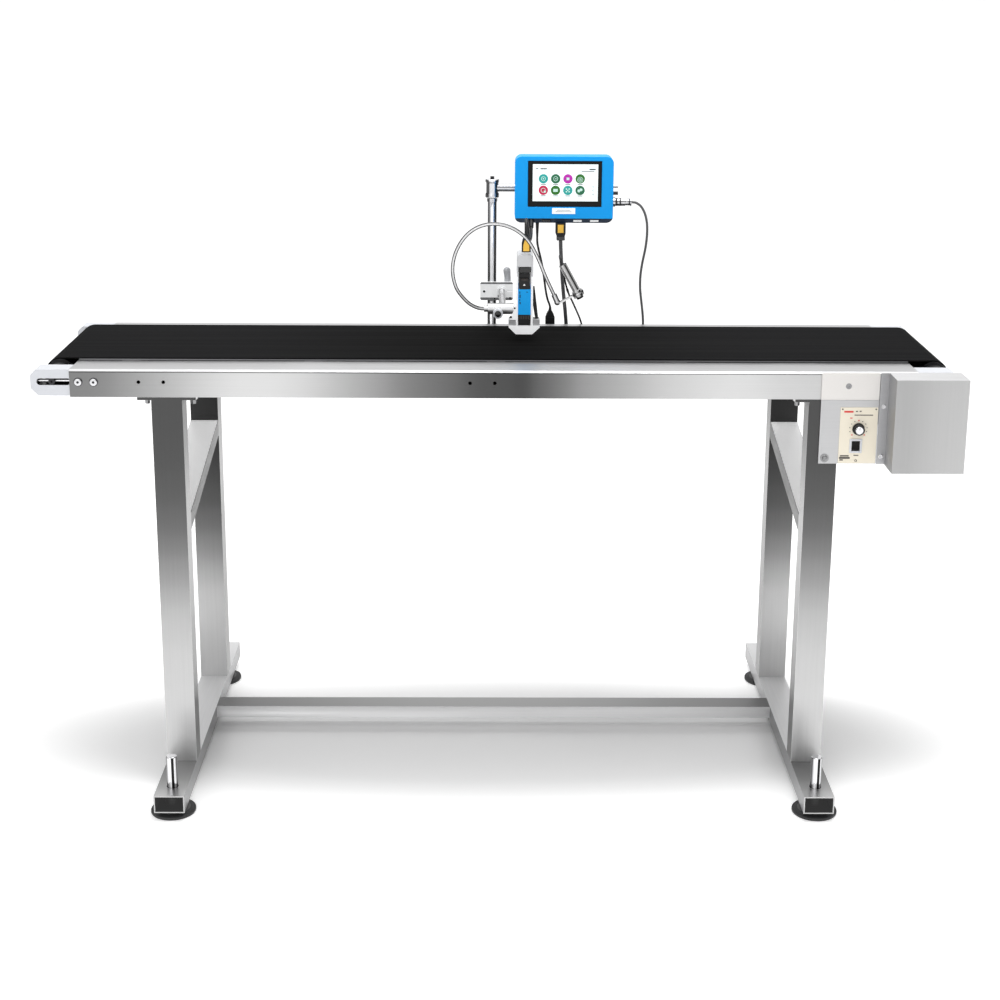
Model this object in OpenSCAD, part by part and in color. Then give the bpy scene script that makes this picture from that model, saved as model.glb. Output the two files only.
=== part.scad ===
// Online inkjet date coder on a belt conveyor.
// X runs along the belt, Y across it with the operator at -Y, Z up. The origin is on the floor
// under the middle of the machine. All sizes are millimetres.

/* [Conveyor] */
// Height of the belt's carrying surface above the floor
belt_top = 734; // [700:1:760]
// Width of the belt
belt_w = 265; // [220:1:265]
// Thickness of the belt
belt_t = 2; // [1.5:0.5:2]
// Outer radius of the belt where it turns over a roller
belt_turn_r = 25; // [24:0.5:25]
// Height of the side rails
rail_h = 45; // [44:1:45]
// Width of the wide front rail
front_rail_w = 66; // [64:1:68]
// Width of the narrow rear rail
rear_rail_w = 40; // [38:1:44]
// Wall thickness of the rails
rail_wall = 3; // [2:0.5:4]

/* [Legs] */
// Distance from the middle of the machine to the middle of each leg frame
leg_x = 532; // [520:1:545]
// Width of the square-edged leg tube, along X
leg_w = 50; // [46:1:50]
// Depth of the upright tube, along Y
upright_d = 40; // [36:1:40]
// Half the length of a foot beam
foot_half = 330; // [320:1:340]
// Height of the foot beam tube
beam_h = 30; // [24:1:32]
// Height of the foot beam's underside above the floor
beam_z = 15; // [15:1:24]
// Wall thickness of the leg tubes
tube_wall = 2; // [1.5:0.5:3]

/* [Stand] */
// Radius of the vertical pole
pole_r = 8; // [7:0.5:8]
// Height of the middle of the print head's cross rod
head_z = 788; // [786:1:800]
// Width of the controller's housing
controller_w = 174; // [170:1:178]
// Height of the controller's housing
controller_h = 118.5; // [112:0.5:120]

/* [Hidden] */

$fn = 48;
eps = 0.5;          // how far a cutting tool runs past the face it cuts
fit_gap = 0.3;      // gap between separate pieces that don't bear on each other
run_gap = 0.05;     // radial clearance of a running or sliding fit

// Conveyor frame
front_y = -200;                             // outer face of the front rail
front_in_y = front_y + front_rail_w;        // inner face of the front rail
rear_in_y = -front_in_y;                    // inner face of the rear rail
rear_y = rear_in_y + rear_rail_w;           // outer face of the rear rail
pair_shift = -front_y - rear_y;             // how much nearer the rear rail is than the front one
rail_top = belt_top - 5;
rail_z = rail_top - rail_h;
rail_left = -687;
rail_right = 682;
axle_z = belt_top - belt_turn_r;            // height of both roller axes
tail_x = -716;
head_x = 723;
block_d = 36;                               // depth of the white end blocks
tail_tip = -750;
head_tip = 746;
roller_r = belt_turn_r - belt_t - fit_gap;
roller_half = 133;
slot_r = 5.5;
slot_left = -734.5;                         // middle of the tension slot's left end
slot_right = -690;
screw_y = front_y + 10;                     // tension screw's distance behind the rail's face
tension_r = 3;
m6_r = 3;
rail_screw_x = [-673, -648, 643, 668];
rail_tap_x = [-576, -536, -42, -2];         // tapped accessory holes in the front rail

// Legs
upright_z = beam_z + beam_h;
plate_t = 5;
plate_z = rail_z - plate_t;
plate_half = 47.5;
bolt_dx = 37.5;
bolt_r = 4;
bolt_y = [-165, (rear_in_y + rear_y) / 2];
rear_foot_y = 252;
foot_y = 292;
stem_r = 9;
stem_top = 99;
bar_z = 23;
bar_y0 = 23;
bar_y1 = 63;

// Drive
cover_y = -258;
drive_back = front_y - 4;                   // front face of the drive plate
motor_x = 684;
motor_z = 622;
pulley_r = 14.5;
flange_r = 17;
pulley_y0 = -246;
pulley_y1 = -228;
cover_x0 = 634;
cover_x1 = 750;
cover_z0 = 576;
cover_z1 = 730;

// Control box
box_x0 = 526;
box_x1 = 620;
face_y = front_y - 4;                       // front of the control box's face
knob_x = 588.5;
knob_z = 636;
rocker_x = 585.5;
rocker_z = 607.5;
rocker_y = -202;
rocker_tilt = 8;
panel_y = face_y - 1;
face_screw = [536, 586.5];
plate_screw = [569.5, 707];
flange_screw_x = 627;
flange_screw_z = [590, 674];

// Stand
pole_x = -6;
pole_y = 192;
pole_top = 966;
pole_foot = 604;
arm_z = 974.5;
arm_r = 7;
arm_end = 146;
ctl_x0 = 34;
ctl_x1 = ctl_x0 + controller_w;
ctl_z1 = 1036;
ctl_z0 = ctl_z1 - controller_h;
ctl_y0 = 143;
ctl_split = 165;
ctl_y1 = 183;
ctl_r = 12;
ctl_bevel = 9;
port_y = 155;                               // depth of the connectors on the housing's right side
gx_z = 954.7;

// Print head and its arm
rod_x = 12;
rod_r = 6;
block_x0 = -27;
block_x1 = 32;
block_z0 = head_z - 16;
block_z1 = head_z + 17;
lever_x = 22.5;
clamp_y = 30;
clamp_r = 9.6;
clamp_z = head_z - 2;
hknob_x = 4;
hknob_z = clamp_z - 6;
frame_x0 = 36.5;
frame_x1 = 64;
head_y0 = 8;
head_y1 = 76;
foot_z = 745.3;
latch_y = 10.5;
latch_z = 854.8;
plug_x = 51.5;
plug_y = 20;

// Sensor
sensor_a = 28.6;                            // lean of the sensor's axis from the vertical
sensor_pos = [140.4, 12, 818.2];            // lower end of the sensor's barrel
sensor_len = 55;
sensor_r = 6.8;
swivel = [106, 12, 801];
neck_end = [101.4, 11.5, 811.2];            // where the flexible arm ends in its swivel
plate_low = -2.6;                           // underside of the sensor's plate, along its axis

// Junction box behind the rear rail
jb_x0 = 60;
jb_x1 = 300;
jb_y1 = 234;
jb_z0 = 640;
jb_z1 = 712;
jb_cable_y = 205;

// Routes of the cables: their centre lines, point by point
head_cable_r = 2.9;
head_cable_pts = [[63, 136.5, 911], [62.8, 128, 903], [62, 117, 897], [60.8, 104, 895],
    [59.2, 90, 899], [57.4, 77, 907], [55.5, 65, 918], [53.8, 54, 930], [52.6, 43, 938],
    [51.8, 32, 940], [51.5, 24, 935], [51.5, 20, 927], [51.5, 20, 918.2]];
link_cable_r = 2.0;
link_cable_pts = [[74.5, 156, 889], [75, 156.1, 880], [77.6, 157, 867], [81.6, 159, 851],
    [85.6, 163.5, 831], [89, 172, 808], [92.4, 183, 786], [96, 194, 770], [99.4, 202.5, 760.5],
    [101, 205, 754.5]];
data_cable_r = 3.4;
data_cable_pts = [[116.4, 156, 886], [116.9, 156.5, 872], [118.2, 158, 850],
    [120, 162.5, 825], [122.2, 169, 800], [125, 180, 775], [127.8, 191, 752], [130, 200, 731],
    [131, 204.5, 716], [131, 205, 700]];
power_cable_r = 2.2;
power_cable_pts = [[241, 155, 954.7], [250, 155, 953.3], [259, 156, 946.5], [266, 158, 934],
    [270.5, 161, 916], [271.5, 165, 893], [269.5, 170, 868], [265.5, 175, 843],
    [263, 180, 818], [263.5, 186, 794], [266.5, 192, 771], [270, 199, 748], [272, 203.5, 728],
    [272, 205, 712], [272, 205, 700]];
sensor_cable_r = 1.7;
sensor_cable_pts = [[112.5, 12, 869.4], [110.4, 12.5, 873.6], [109.3, 16, 878], [109.5, 22, 880.3],
    [110.5, 29, 878], [112.5, 35.5, 870], [115, 42, 857], [118, 50, 842], [122, 62, 825],
    [126.5, 78, 809], [131.5, 98, 795], [137, 120, 782], [143, 143, 767], [149.5, 165, 751],
    [155.5, 185, 735], [159.5, 199, 721], [160, 204.5, 711], [160, 205, 700]];
neck_r = 3.2;
neck_pts = [[-15, 28, 786], [-29, 26, 787.5], [-44, 23, 795], [-57, 20, 808], [-67, 17, 823],
    [-72.5, 15, 841], [-74, 13, 859], [-71.5, 11, 877], [-66, 9.5, 893], [-57.5, 8, 908],
    [-46, 7, 921], [-32, 6, 930.5], [-16, 5, 936], [0, 4, 937], [16, 3.5, 934.5],
    [32, 3, 928], [46, 3, 918], [57, 3.5, 905.5], [66.5, 4.5, 889], [75, 6, 871],
    [83, 7.5, 851], [91.5, 9.5, 832], neck_end];

// ---------- shapes ----------

module bx(x0, x1, y0, y1, z0, z1) {
    translate([x0, y0, z0]) cube([x1 - x0, y1 - y0, z1 - z0]);
}

module cyl_x(x0, x1, y, z, r, r2 = undef, fn = $fn) {
    translate([x0, y, z]) rotate([0, 90, 0])
        cylinder(h = x1 - x0, r1 = r, r2 = is_undef(r2) ? r : r2, $fn = fn);
}

module cyl_y(y0, y1, x, z, r, r2 = undef, fn = $fn) {
    translate([x, y0, z]) rotate([-90, 0, 0])
        cylinder(h = y1 - y0, r1 = r, r2 = is_undef(r2) ? r : r2, $fn = fn);
}

module cyl_z(z0, z1, x, y, r, r2 = undef, fn = $fn) {
    translate([x, y, z0]) cylinder(h = z1 - z0, r1 = r, r2 = is_undef(r2) ? r : r2, $fn = fn);
}

// An outline in X and Z, drawn out from y0 to y1
module prism_y(pts, y0, y1) {
    translate([0, y1, 0]) rotate([90, 0, 0]) linear_extrude(y1 - y0) polygon(pts);
}

// An outline in Y and Z, drawn out from x0 to x1
module prism_x(pts, x0, x1) {
    translate([x0, 0, 0]) rotate([90, 0, 90]) linear_extrude(x1 - x0) polygon(pts);
}

// A box whose four edges along Y are rounded
module round_box_y(x0, x1, y0, y1, z0, z1, r) {
    bx(x0 + r, x1 - r, y0, y1, z0, z1);
    bx(x0, x1, y0, y1, z0 + r, z1 - r);
    for (x = [x0 + r, x1 - r], z = [z0 + r, z1 - r]) cyl_y(y0, y1, x, z, r);
}

// A solid with round ends around two axes along Y: one at the origin, one at (reach, 0)
module stadium(reach, y0, y1, r) {
    cyl_y(y0, y1, 0, 0, r);
    cyl_y(y0, y1, reach, 0, r);
    bx(0, reach, y0, y1, -r, r);
}

// A closed loop of material between the outlines of radius r0 and r1 around both axes
module loop(reach, y0, y1, r0, r1) {
    difference() {
        stadium(reach, y0, y1, r1);
        stadium(reach, y0 - eps, y1 + eps, r0);
    }
}

// The child as drawn on the front rail, and its mirror image on the rear rail
module on_both_rails() {
    children();
    translate([0, -pair_shift, 0]) mirror([0, 1, 0]) children();
}

module left_and_right() {
    children();
    mirror([1, 0, 0]) children();
}

// Button-head screw whose head bears on the plane y, pointing into the machine (+Y)
module button_screw(x, y, z, r, len, head = 2.2) {
    head_r = head * r;
    head_h = 1.1 * r;
    difference() {
        union() {
            cyl_y(y, y + len, x, z, r);
            cyl_y(y - 0.45 * head_h, y, x, z, 0.96 * head_r, head_r);
            cyl_y(y - 0.8 * head_h, y - 0.45 * head_h, x, z, 0.8 * head_r, 0.96 * head_r);
            cyl_y(y - head_h, y - 0.8 * head_h, x, z, 0.6 * head_r, 0.8 * head_r);
        }
        cyl_y(y - head_h - eps, y - head_h + 1.2, x, z, 0.75 * r, fn = 6);
    }
}

// Smooth points between hand-set ones: a Catmull-Rom curve with n steps to each span
function at(p, i) = p[max(0, min(len(p) - 1, i))];
function blend_at(p, i, t) = 0.5 * (2 * at(p, i) + (at(p, i + 1) - at(p, i - 1)) * t
    + (2 * at(p, i - 1) - 5 * at(p, i) + 4 * at(p, i + 1) - at(p, i + 2)) * t * t
    + (3 * at(p, i) - at(p, i - 1) - 3 * at(p, i + 1) + at(p, i + 2)) * t * t * t);
function smooth(p, n) = concat([for (i = [0:len(p) - 2], k = [0:n - 1]) blend_at(p, i, k / n)],
    [p[len(p) - 1]]);
function unit(v) = v / norm(v);
function heading(p, i) = unit(at(p, i + 1) - at(p, i - 1));
// Side vectors carried along the curve without twist
function carried(p, i, side) = unit(side - (side * heading(p, i)) * heading(p, i));
function sides(p, i, side) = i == len(p) ? [] :
    let (s = carried(p, i, side)) concat([s], sides(p, i + 1, s));

// A tube of radius r swept along points p, its ends flat
module tube(p, r, sides_n, start_side) {
    n = len(p);
    side = sides(p, 0, start_side);
    pts = [for (i = [0:n - 1], k = [0:sides_n - 1])
        let (a = 360 * k / sides_n, s = side[i], u = cross(heading(p, i), s))
        p[i] + r * (cos(a) * s + sin(a) * u)];
    walls = [for (i = [0:n - 2], k = [0:sides_n - 1])
        let (a = i * sides_n + k, b = i * sides_n + (k + 1) % sides_n)
        [a, a + sides_n, b + sides_n, b]];
    first = [[for (k = [0:sides_n - 1]) k]];
    last = [[for (k = [0:sides_n - 1]) n * sides_n - 1 - k]];
    polyhedron(points = pts, faces = concat(walls, first, last), convexity = 10);
}

// ---------- conveyor frame ----------

module rail_bolt_holes(y) {
    for (s = [-1, 1], d = [-bolt_dx, bolt_dx])
        cyl_z(rail_z - eps, rail_z + rail_wall + eps, s * leg_x + d, y, bolt_r + fit_gap);
}

module front_rail() {
    chamfer = 2.5;
    w = rail_wall;
    color("silver") difference() {
        prism_x([[front_y, rail_z], [front_in_y, rail_z], [front_in_y, rail_top],
            [front_y + chamfer, rail_top], [front_y, rail_top - chamfer]], rail_left, rail_right);
        bx(rail_left - eps, rail_right + eps, front_y + w, front_in_y - w, rail_z + w, rail_top - w);
        for (x = rail_screw_x) cyl_y(front_y - eps, front_y + w + eps, x, axle_z, m6_r + fit_gap);
        for (x = rail_tap_x) cyl_y(front_y - eps, front_y + w + eps, x, axle_z, m6_r);
        cyl_y(front_y - eps, front_y + w + eps, plate_screw[0], plate_screw[1], 2.5);
        rail_bolt_holes(bolt_y[0]);
    }
}

module rear_rail() {
    w = rail_wall;
    color("silver") difference() {
        bx(rail_left, rail_right, rear_in_y, rear_y, rail_z, rail_top);
        bx(rail_left - eps, rail_right + eps, rear_in_y + w, rear_y - w, rail_z + w, rail_top - w);
        for (x = rail_screw_x) cyl_y(rear_y - w - eps, rear_y + eps, x, axle_z, m6_r + fit_gap);
        rail_bolt_holes(bolt_y[1]);
    }
}

module slider_bed() {
    tie_w = 30;
    tie_h = 15;
    tie_step = 300;
    color("gainsboro") {
        bx(rail_left + 1, rail_right - 1, -131, 131, rail_top, belt_top - belt_t - fit_gap);
        for (i = [-2:2]) difference() {
            bx(i * tie_step - tie_w / 2, i * tie_step + tie_w / 2, front_in_y, rear_in_y,
                rail_top - tie_h, rail_top);
            bx(i * tie_step - tie_w / 2 + 2, i * tie_step + tie_w / 2 - 2, front_in_y - eps,
                rear_in_y + eps, rail_top - tie_h + 2, rail_top - 2);
        }
    }
}

module conveyor_belt() {
    h = belt_w / 2;
    color("#1c1c1c") translate([tail_x, 0, axle_z])
        loop(head_x - tail_x, -h, h, belt_turn_r - belt_t, belt_turn_r);
}

// The part of an end block that slides into the end of a rail
module block_tongue(x0, x1) {
    bx(x0, x1, front_y + rail_wall + fit_gap, front_y + block_d, rail_z + rail_wall + fit_gap,
        rail_top - rail_wall - fit_gap);
}

module block_screw_holes(xs) {
    for (x = xs) cyl_y(front_y, front_y + 12, x, axle_z, m6_r);
}

module tail_block() {
    y0 = front_y + 1;
    y1 = y0 + block_d;
    x1 = rail_left - fit_gap;
    difference() {
        union() {
            prism_y([[x1, rail_z + 2], [-738, rail_z + 2], [tail_tip, rail_z + 14],
                [tail_tip, rail_top - 9], [-741, rail_top], [x1, rail_top]], y0, y1);
            block_tongue(x1, -632);
        }
        translate([slot_left, 0, axle_z])
            stadium(slot_right - slot_left, y0 - eps, y1 + eps, slot_r);
        cyl_x(tail_tip - eps, -743, screw_y, axle_z, 5.3);
        cyl_x(-744, slot_left, screw_y, axle_z, tension_r + run_gap);
        cyl_x(slot_right, -677, screw_y, axle_z, tension_r + run_gap);
        block_screw_holes([-673, -648]);
    }
}

module tail_blocks() {
    color("white") on_both_rails() tail_block();
}

module head_block() {
    y0 = front_y + 1;
    y1 = y0 + block_d;
    x0 = rail_right + fit_gap;
    difference() {
        union() {
            prism_y([[x0, rail_z + 2], [738, rail_z + 2], [head_tip, rail_z + 10],
                [head_tip, rail_top - 7], [739, rail_top], [x0, rail_top]], y0, y1);
            block_tongue(630, x0);
        }
        cyl_y(y0 - eps, y1 + eps, head_x, axle_z, 16);
        block_screw_holes([643, 668]);
    }
}

module head_blocks() {
    color("white") on_both_rails() head_block();
}

module rail_screws() {
    color("lightgray") on_both_rails()
        for (x = rail_screw_x) button_screw(x, front_y, axle_z, m6_r, 10, 2.45);
}

// ---------- legs ----------

module upright(y0, plate_y0, plate_y1, hole_y) {
    x0 = leg_x - leg_w / 2;
    x1 = leg_x + leg_w / 2;
    w = tube_wall;
    difference() {
        bx(x0, x1, y0, y0 + upright_d, upright_z, plate_z);
        bx(x0 + w, x1 - w, y0 + w, y0 + upright_d - w, upright_z - eps, plate_z - w);
    }
    difference() {
        bx(leg_x - plate_half, leg_x + plate_half, plate_y0, plate_y1, plate_z, rail_z);
        for (d = [-bolt_dx, bolt_dx])
            cyl_z(plate_z - eps, rail_z + eps, leg_x + d, hole_y, bolt_r + fit_gap);
    }
}

module uprights() {
    color("lightgray") difference() {
        left_and_right() {
            upright(front_y, front_y, front_in_y - 2, bolt_y[0]);
            upright(-front_y - upright_d, rear_in_y + 2, -front_y, bolt_y[1]);
        }
        cyl_y(front_y - eps, front_y + tube_wall + eps, face_screw[0], face_screw[1], 2.5);
    }
}

module braces() {
    y = -front_y - upright_d;
    low = 446;
    rise = 75;
    thick = 29;
    w = tube_wall;
    x0 = leg_x - leg_w / 2;
    color("lightgray") left_and_right() difference() {
        prism_x([[-y, low], [y, low + rise], [y, low + rise + thick], [-y, low + thick]],
            x0, x0 + leg_w);
        prism_x([[-y - eps, low + w], [y + eps, low + rise + w],
            [y + eps, low + rise + thick - w], [-y - eps, low + thick - w]],
            x0 + w, x0 + leg_w - w);
    }
}

module foot_beam() {
    x0 = leg_x - leg_w / 2;
    x1 = leg_x + leg_w / 2;
    w = tube_wall;
    difference() {
        union() {
            difference() {
                bx(x0, x1, -foot_half, foot_half, beam_z, beam_z + beam_h);
                bx(x0 + w, x1 - w, -foot_half - eps, foot_half + eps, beam_z + w,
                    beam_z + beam_h - w);
            }
            for (y = [-foot_y, rear_foot_y]) cyl_z(beam_z + 1, beam_z + 13, leg_x, y, 13);
        }
        for (y = [-foot_y, rear_foot_y]) {
            cyl_z(beam_z - eps, beam_z + 14, leg_x, y, stem_r + run_gap);
            cyl_z(beam_z + beam_h - w - eps, beam_z + beam_h + eps, leg_x, y, 9.75);
        }
    }
}

module base_frame() {
    w = tube_wall;
    half = leg_x - leg_w / 2;
    color("lightgray") {
        left_and_right() foot_beam();
        difference() {
            bx(-half, half, bar_y0, bar_y1, bar_z, beam_z + beam_h);
            bx(-half - eps, half + eps, bar_y0 + w, bar_y1 - w, bar_z + w, beam_z + beam_h - w);
        }
    }
}

module plate_bolts() {
    nut_h = 6.5;
    color("gray") for (s = [-1, 1], d = [-bolt_dx, bolt_dx], y = bolt_y) {
        x = s * leg_x + d;
        cyl_z(665, rail_z + rail_wall, x, y, bolt_r);
        cyl_z(rail_z + rail_wall, rail_z + rail_wall + 5.5, x, y, 7, fn = 6);
        difference() {
            cyl_z(plate_z - nut_h, plate_z, x, y, 7.5, fn = 6);
            cyl_z(plate_z - nut_h - eps, plate_z + eps, x, y, bolt_r);
        }
    }
}

// One levelling foot: a rubber pad moulded on a threaded stem with a hexagon under the beam
module level_foot(x, y) {
    pad_r = 37;
    color("#2b2b2b") translate([x, y, 0]) rotate_extrude()
        polygon([[0, 0], [pad_r - 1, 0], [pad_r, 1.2], [pad_r, 5], [pad_r - 2, 6.4], [22, 8.6],
            [15, 11], [0, 11]]);
    color("silver") {
        cyl_z(11, beam_z, x, y, 12, fn = 6);
        cyl_z(beam_z, stem_top - 1.5, x, y, stem_r);
        cyl_z(stem_top - 1.5, stem_top, x, y, stem_r, stem_r - 1.5);
    }
}

module left_front_foot() { level_foot(-leg_x, -foot_y); }
module left_rear_foot() { level_foot(-leg_x, rear_foot_y); }
module right_front_foot() { level_foot(leg_x, -foot_y); }
module right_rear_foot() { level_foot(leg_x, rear_foot_y); }

// ---------- tail roller and its tensioner ----------

module tail_shaft() {
    neck_r0 = slot_r - 0.1;
    front_end = front_y + 2;
    rear_end = rear_y - 2;
    front_face = front_y + 1 + block_d + fit_gap;
    rear_face = rear_y - 1 - block_d - fit_gap;
    color("#333333") difference() {
        union() {
            cyl_y(front_end, front_face, tail_x, axle_z, neck_r0);
            cyl_y(front_face, -roller_half - fit_gap, tail_x, axle_z, 19);
            cyl_y(-roller_half - fit_gap, roller_half + fit_gap, tail_x, axle_z, 7.5);
            cyl_y(roller_half + fit_gap, rear_face, tail_x, axle_z, 19);
            cyl_y(rear_face, rear_end, tail_x, axle_z, neck_r0);
        }
        for (y = [screw_y, -pair_shift - screw_y])
            cyl_x(tail_x - 6, tail_x + 6, y, axle_z, tension_r + run_gap);
        cyl_y(front_end - eps, front_end + 4, tail_x, axle_z, 2);
        cyl_y(rear_end - 4, rear_end + eps, tail_x, axle_z, 2);
    }
    color("lightgray") for (s = [-1, 1]) difference() {
        cyl_y(s * 125.5 - 5.5, s * 125.5 + 5.5, tail_x, axle_z, 16);
        cyl_y(s * 125.5 - 6, s * 125.5 + 6, tail_x, axle_z, 7.5);
    }
}

module tail_roller() {
    color("dimgray") difference() {
        cyl_y(-roller_half, roller_half, tail_x, axle_z, roller_r);
        cyl_y(-roller_half - eps, roller_half + eps, tail_x, axle_z, 16 + run_gap);
        cyl_y(-110, 110, tail_x, axle_z, 20);
    }
}

module tension_screw(y) {
    color("darkgray") difference() {
        union() {
            cyl_x(-743.3, -677.5, y, axle_z, tension_r);
            cyl_x(tail_tip + 1, -743.3, y, axle_z, 5);
        }
        cyl_x(tail_tip, tail_tip + 5, y, axle_z, 2.9, fn = 6);
    }
}

module front_tension_screw() { tension_screw(screw_y); }
module rear_tension_screw() { tension_screw(-pair_shift - screw_y); }

// ---------- drive ----------

module head_bearings() {
    color("lightgray") on_both_rails() difference() {
        cyl_y(-195, -184, head_x, axle_z, 16);
        cyl_y(-196, -183, head_x, axle_z, 7.5 + run_gap);
    }
}

module pulley(x, z, bore_r) {
    difference() {
        union() {
            cyl_y(pulley_y0, pulley_y1, x, z, pulley_r);
            cyl_y(pulley_y0, pulley_y0 + 2, x, z, flange_r);
            cyl_y(pulley_y1 - 2, pulley_y1, x, z, flange_r);
        }
        if (bore_r > 0) cyl_y(pulley_y0 - eps, pulley_y1 + eps, x, z, bore_r);
    }
}

module drive_roller() {
    rear_face = rear_y - 1 - block_d - fit_gap;
    front_face = front_y + 1 + block_d + fit_gap;
    color("#2a2a2a") {
        cyl_y(-roller_half, roller_half, head_x, axle_z, roller_r);
        cyl_y(front_face, -roller_half, head_x, axle_z, 19);
        cyl_y(roller_half, rear_face, head_x, axle_z, 19);
        cyl_y(pulley_y0 - 1, front_face, head_x, axle_z, 7.5);
        cyl_y(rear_face, rear_y - 3, head_x, axle_z, 7.5);
    }
    color("silver") pulley(head_x, axle_z, 7.5);
}

module motor_pulley() {
    color("silver") {
        pulley(motor_x, motor_z, 0);
        cyl_y(pulley_y1, -152, motor_x, motor_z, 6);
    }
}

module timing_belt() {
    inner = pulley_r + fit_gap;
    rise = axle_z - motor_z;
    run = head_x - motor_x;
    color("#151515") translate([motor_x, 0, motor_z]) rotate([0, -atan2(rise, run), 0])
        loop(norm([rise, run]), -243, -231, inner, inner + 1.8);
}

module gear_motor() {
    color("#8a8d90") difference() {
        bx(motor_x - 36, motor_x + 36, front_y, -132, motor_z - 36, motor_z + 36);
        cyl_y(front_y - eps, -150, motor_x, motor_z, 6 + run_gap);
    }
    color("#3c3f42") {
        cyl_y(-132, -34, motor_x, motor_z, 34);
        cyl_y(-34, -20, motor_x, motor_z, 34, 29);
    }
}

module drive_plate() {
    color("lightgray") difference() {
        bx(622, head_tip, drive_back, front_y, cover_z0 + 1, rail_top);
        cyl_y(drive_back - eps, front_y + eps, head_x, axle_z, 10);
        cyl_y(drive_back - eps, front_y + eps, motor_x, motor_z, 9);
        for (x = [643, 668]) cyl_y(drive_back - eps, front_y + eps, x, axle_z, 7.5);
        for (z = flange_screw_z)
            cyl_y(drive_back - eps, front_y + eps, flange_screw_x, z, 2.5);
    }
}

module drive_cover() {
    t = 2;
    color("silver") difference() {
        union() {
            bx(cover_x0, cover_x1, cover_y, drive_back, cover_z0, cover_z1);
            bx(box_x1 + fit_gap, cover_x0 + t, drive_back - t, drive_back, cover_z0 + 1, rail_top);
        }
        bx(cover_x0 + t, cover_x1 - t, cover_y + t, drive_back + eps, cover_z0 + t, cover_z1 - t);
        for (z = flange_screw_z)
            cyl_y(drive_back - t - eps, drive_back + eps, flange_screw_x, z, 2.5 + fit_gap);
    }
}

module pan_screw(x, y, z, len) {
    difference() {
        union() {
            cyl_y(y, y + len, x, z, 2.5);
            cyl_y(y - 2.6, y, x, z, 3.4, 4.6);
        }
        bx(x - 3, x + 3, y - 3, y - 1.6, z - 0.5, z + 0.5);
        bx(x - 0.5, x + 0.5, y - 3, y - 1.6, z - 3, z + 3);
    }
}

module cover_screws() {
    color("whitesmoke") {
        for (z = flange_screw_z) pan_screw(flange_screw_x, drive_back - 2, z, 6);
        pan_screw(face_screw[0], face_y - 1.2, face_screw[1], 7);
        difference() {
            cyl_y(face_y - 1.2, face_y, face_screw[0], face_screw[1], 7);
            cyl_y(face_y - 2, face_y + 1, face_screw[0], face_screw[1], 2.5);
        }
        difference() {
            union() {
                cyl_y(face_y, face_y + 2.5, plate_screw[0], plate_screw[1], 5, 2.5);
                cyl_y(face_y + 2.5, front_y + rail_wall, plate_screw[0], plate_screw[1], 2.5);
            }
            cyl_y(face_y - eps, face_y + 1.5, plate_screw[0], plate_screw[1], 1.8, fn = 6);
        }
    }
}

// ---------- control box ----------

module rocker_cutout(y0, y1) {
    bx(rocker_x - 8.8, rocker_x + 8.8, y0, y1, rocker_z - 10.3, rocker_z + 10.3);
}

module control_box() {
    hx0 = 565;
    hz0 = 580;
    hz1 = 646;
    hy1 = -146;
    t = 1.5;
    color("silver") difference() {
        union() {
            difference() {
                bx(box_x0, box_x1, face_y, front_y, cover_z0 + 1, rail_z);
                bx(box_x0 + t, box_x1 - t, face_y + 2, front_y + eps, cover_z0 + 1 + t, rail_z - t);
            }
            bx(hx0, box_x1, face_y + 2, hy1, hz0, hz1);
        }
        bx(hx0 + t, box_x1 - t, face_y + 2, hy1 - t, hz0 + t, hz1 - t);
        rocker_cutout(face_y - eps, face_y + 3);
        cyl_y(face_y - eps, face_y + 3, knob_x, knob_z, 3.6);
        cyl_y(face_y - eps, face_y + 3, face_screw[0], face_screw[1], 2.5);
    }
}

module cover_plate() {
    color("ivory") difference() {
        bx(box_x0, box_x1, face_y, front_y, rail_z + 0.2, rail_top);
        cyl_y(face_y, face_y + 2.5, plate_screw[0], plate_screw[1], 5, 2.5);
        cyl_y(face_y - eps, front_y + eps, plate_screw[0], plate_screw[1], 2.5);
    }
}

module control_panel() {
    color("#ede0c4") difference() {
        bx(558, 619, panel_y, face_y, 578, 672);
        rocker_cutout(panel_y - eps, face_y + eps);
        cyl_y(panel_y - eps, face_y + eps, knob_x, knob_z, 3.6);
    }
    color("whitesmoke") difference() {
        union() {
            bx(rocker_x - 10.2, rocker_x + 10.2, panel_y - 1.5, panel_y, rocker_z - 11.7,
                rocker_z + 11.7);
            bx(rocker_x - 8.5, rocker_x + 8.5, panel_y, -190, rocker_z - 10, rocker_z + 10);
        }
        bx(rocker_x - 6.8, rocker_x + 6.8, panel_y - 2, -192, rocker_z - 8.5, rocker_z + 8.5);
    }
}

module speed_board() {
    color("darkgreen") bx(568, 617, -178, -176.4, 583, 643);
    color("gray") {
        difference() {
            cyl_y(face_y + 2, -190, knob_x, knob_z, 8);
            cyl_y(face_y + 1, -191, knob_x, knob_z, m6_r + run_gap);
        }
        bx(knob_x - 4, knob_x + 4, -190, -178, knob_z - 4, knob_z + 4);
        for (x = [572, 613]) cyl_y(-176.4, -147.5, x, 588, 2.5);
        for (i = [0:4]) bx(576 + 8 * i, 578 + 8 * i, -176.4, -160, 600, 630);
    }
}

module speed_knob() {
    color("#202020") {
        cyl_y(panel_y - 2, panel_y - 0.4, knob_x, knob_z, 10);
        cyl_y(panel_y - 11, panel_y - 2, knob_x, knob_z, 8.2, 8.8);
        cyl_y(panel_y - 0.4, -192, knob_x, knob_z, m6_r);
    }
    color("silver") cyl_y(panel_y - 12, panel_y - 11, knob_x, knob_z, 6.4);
}

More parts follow.
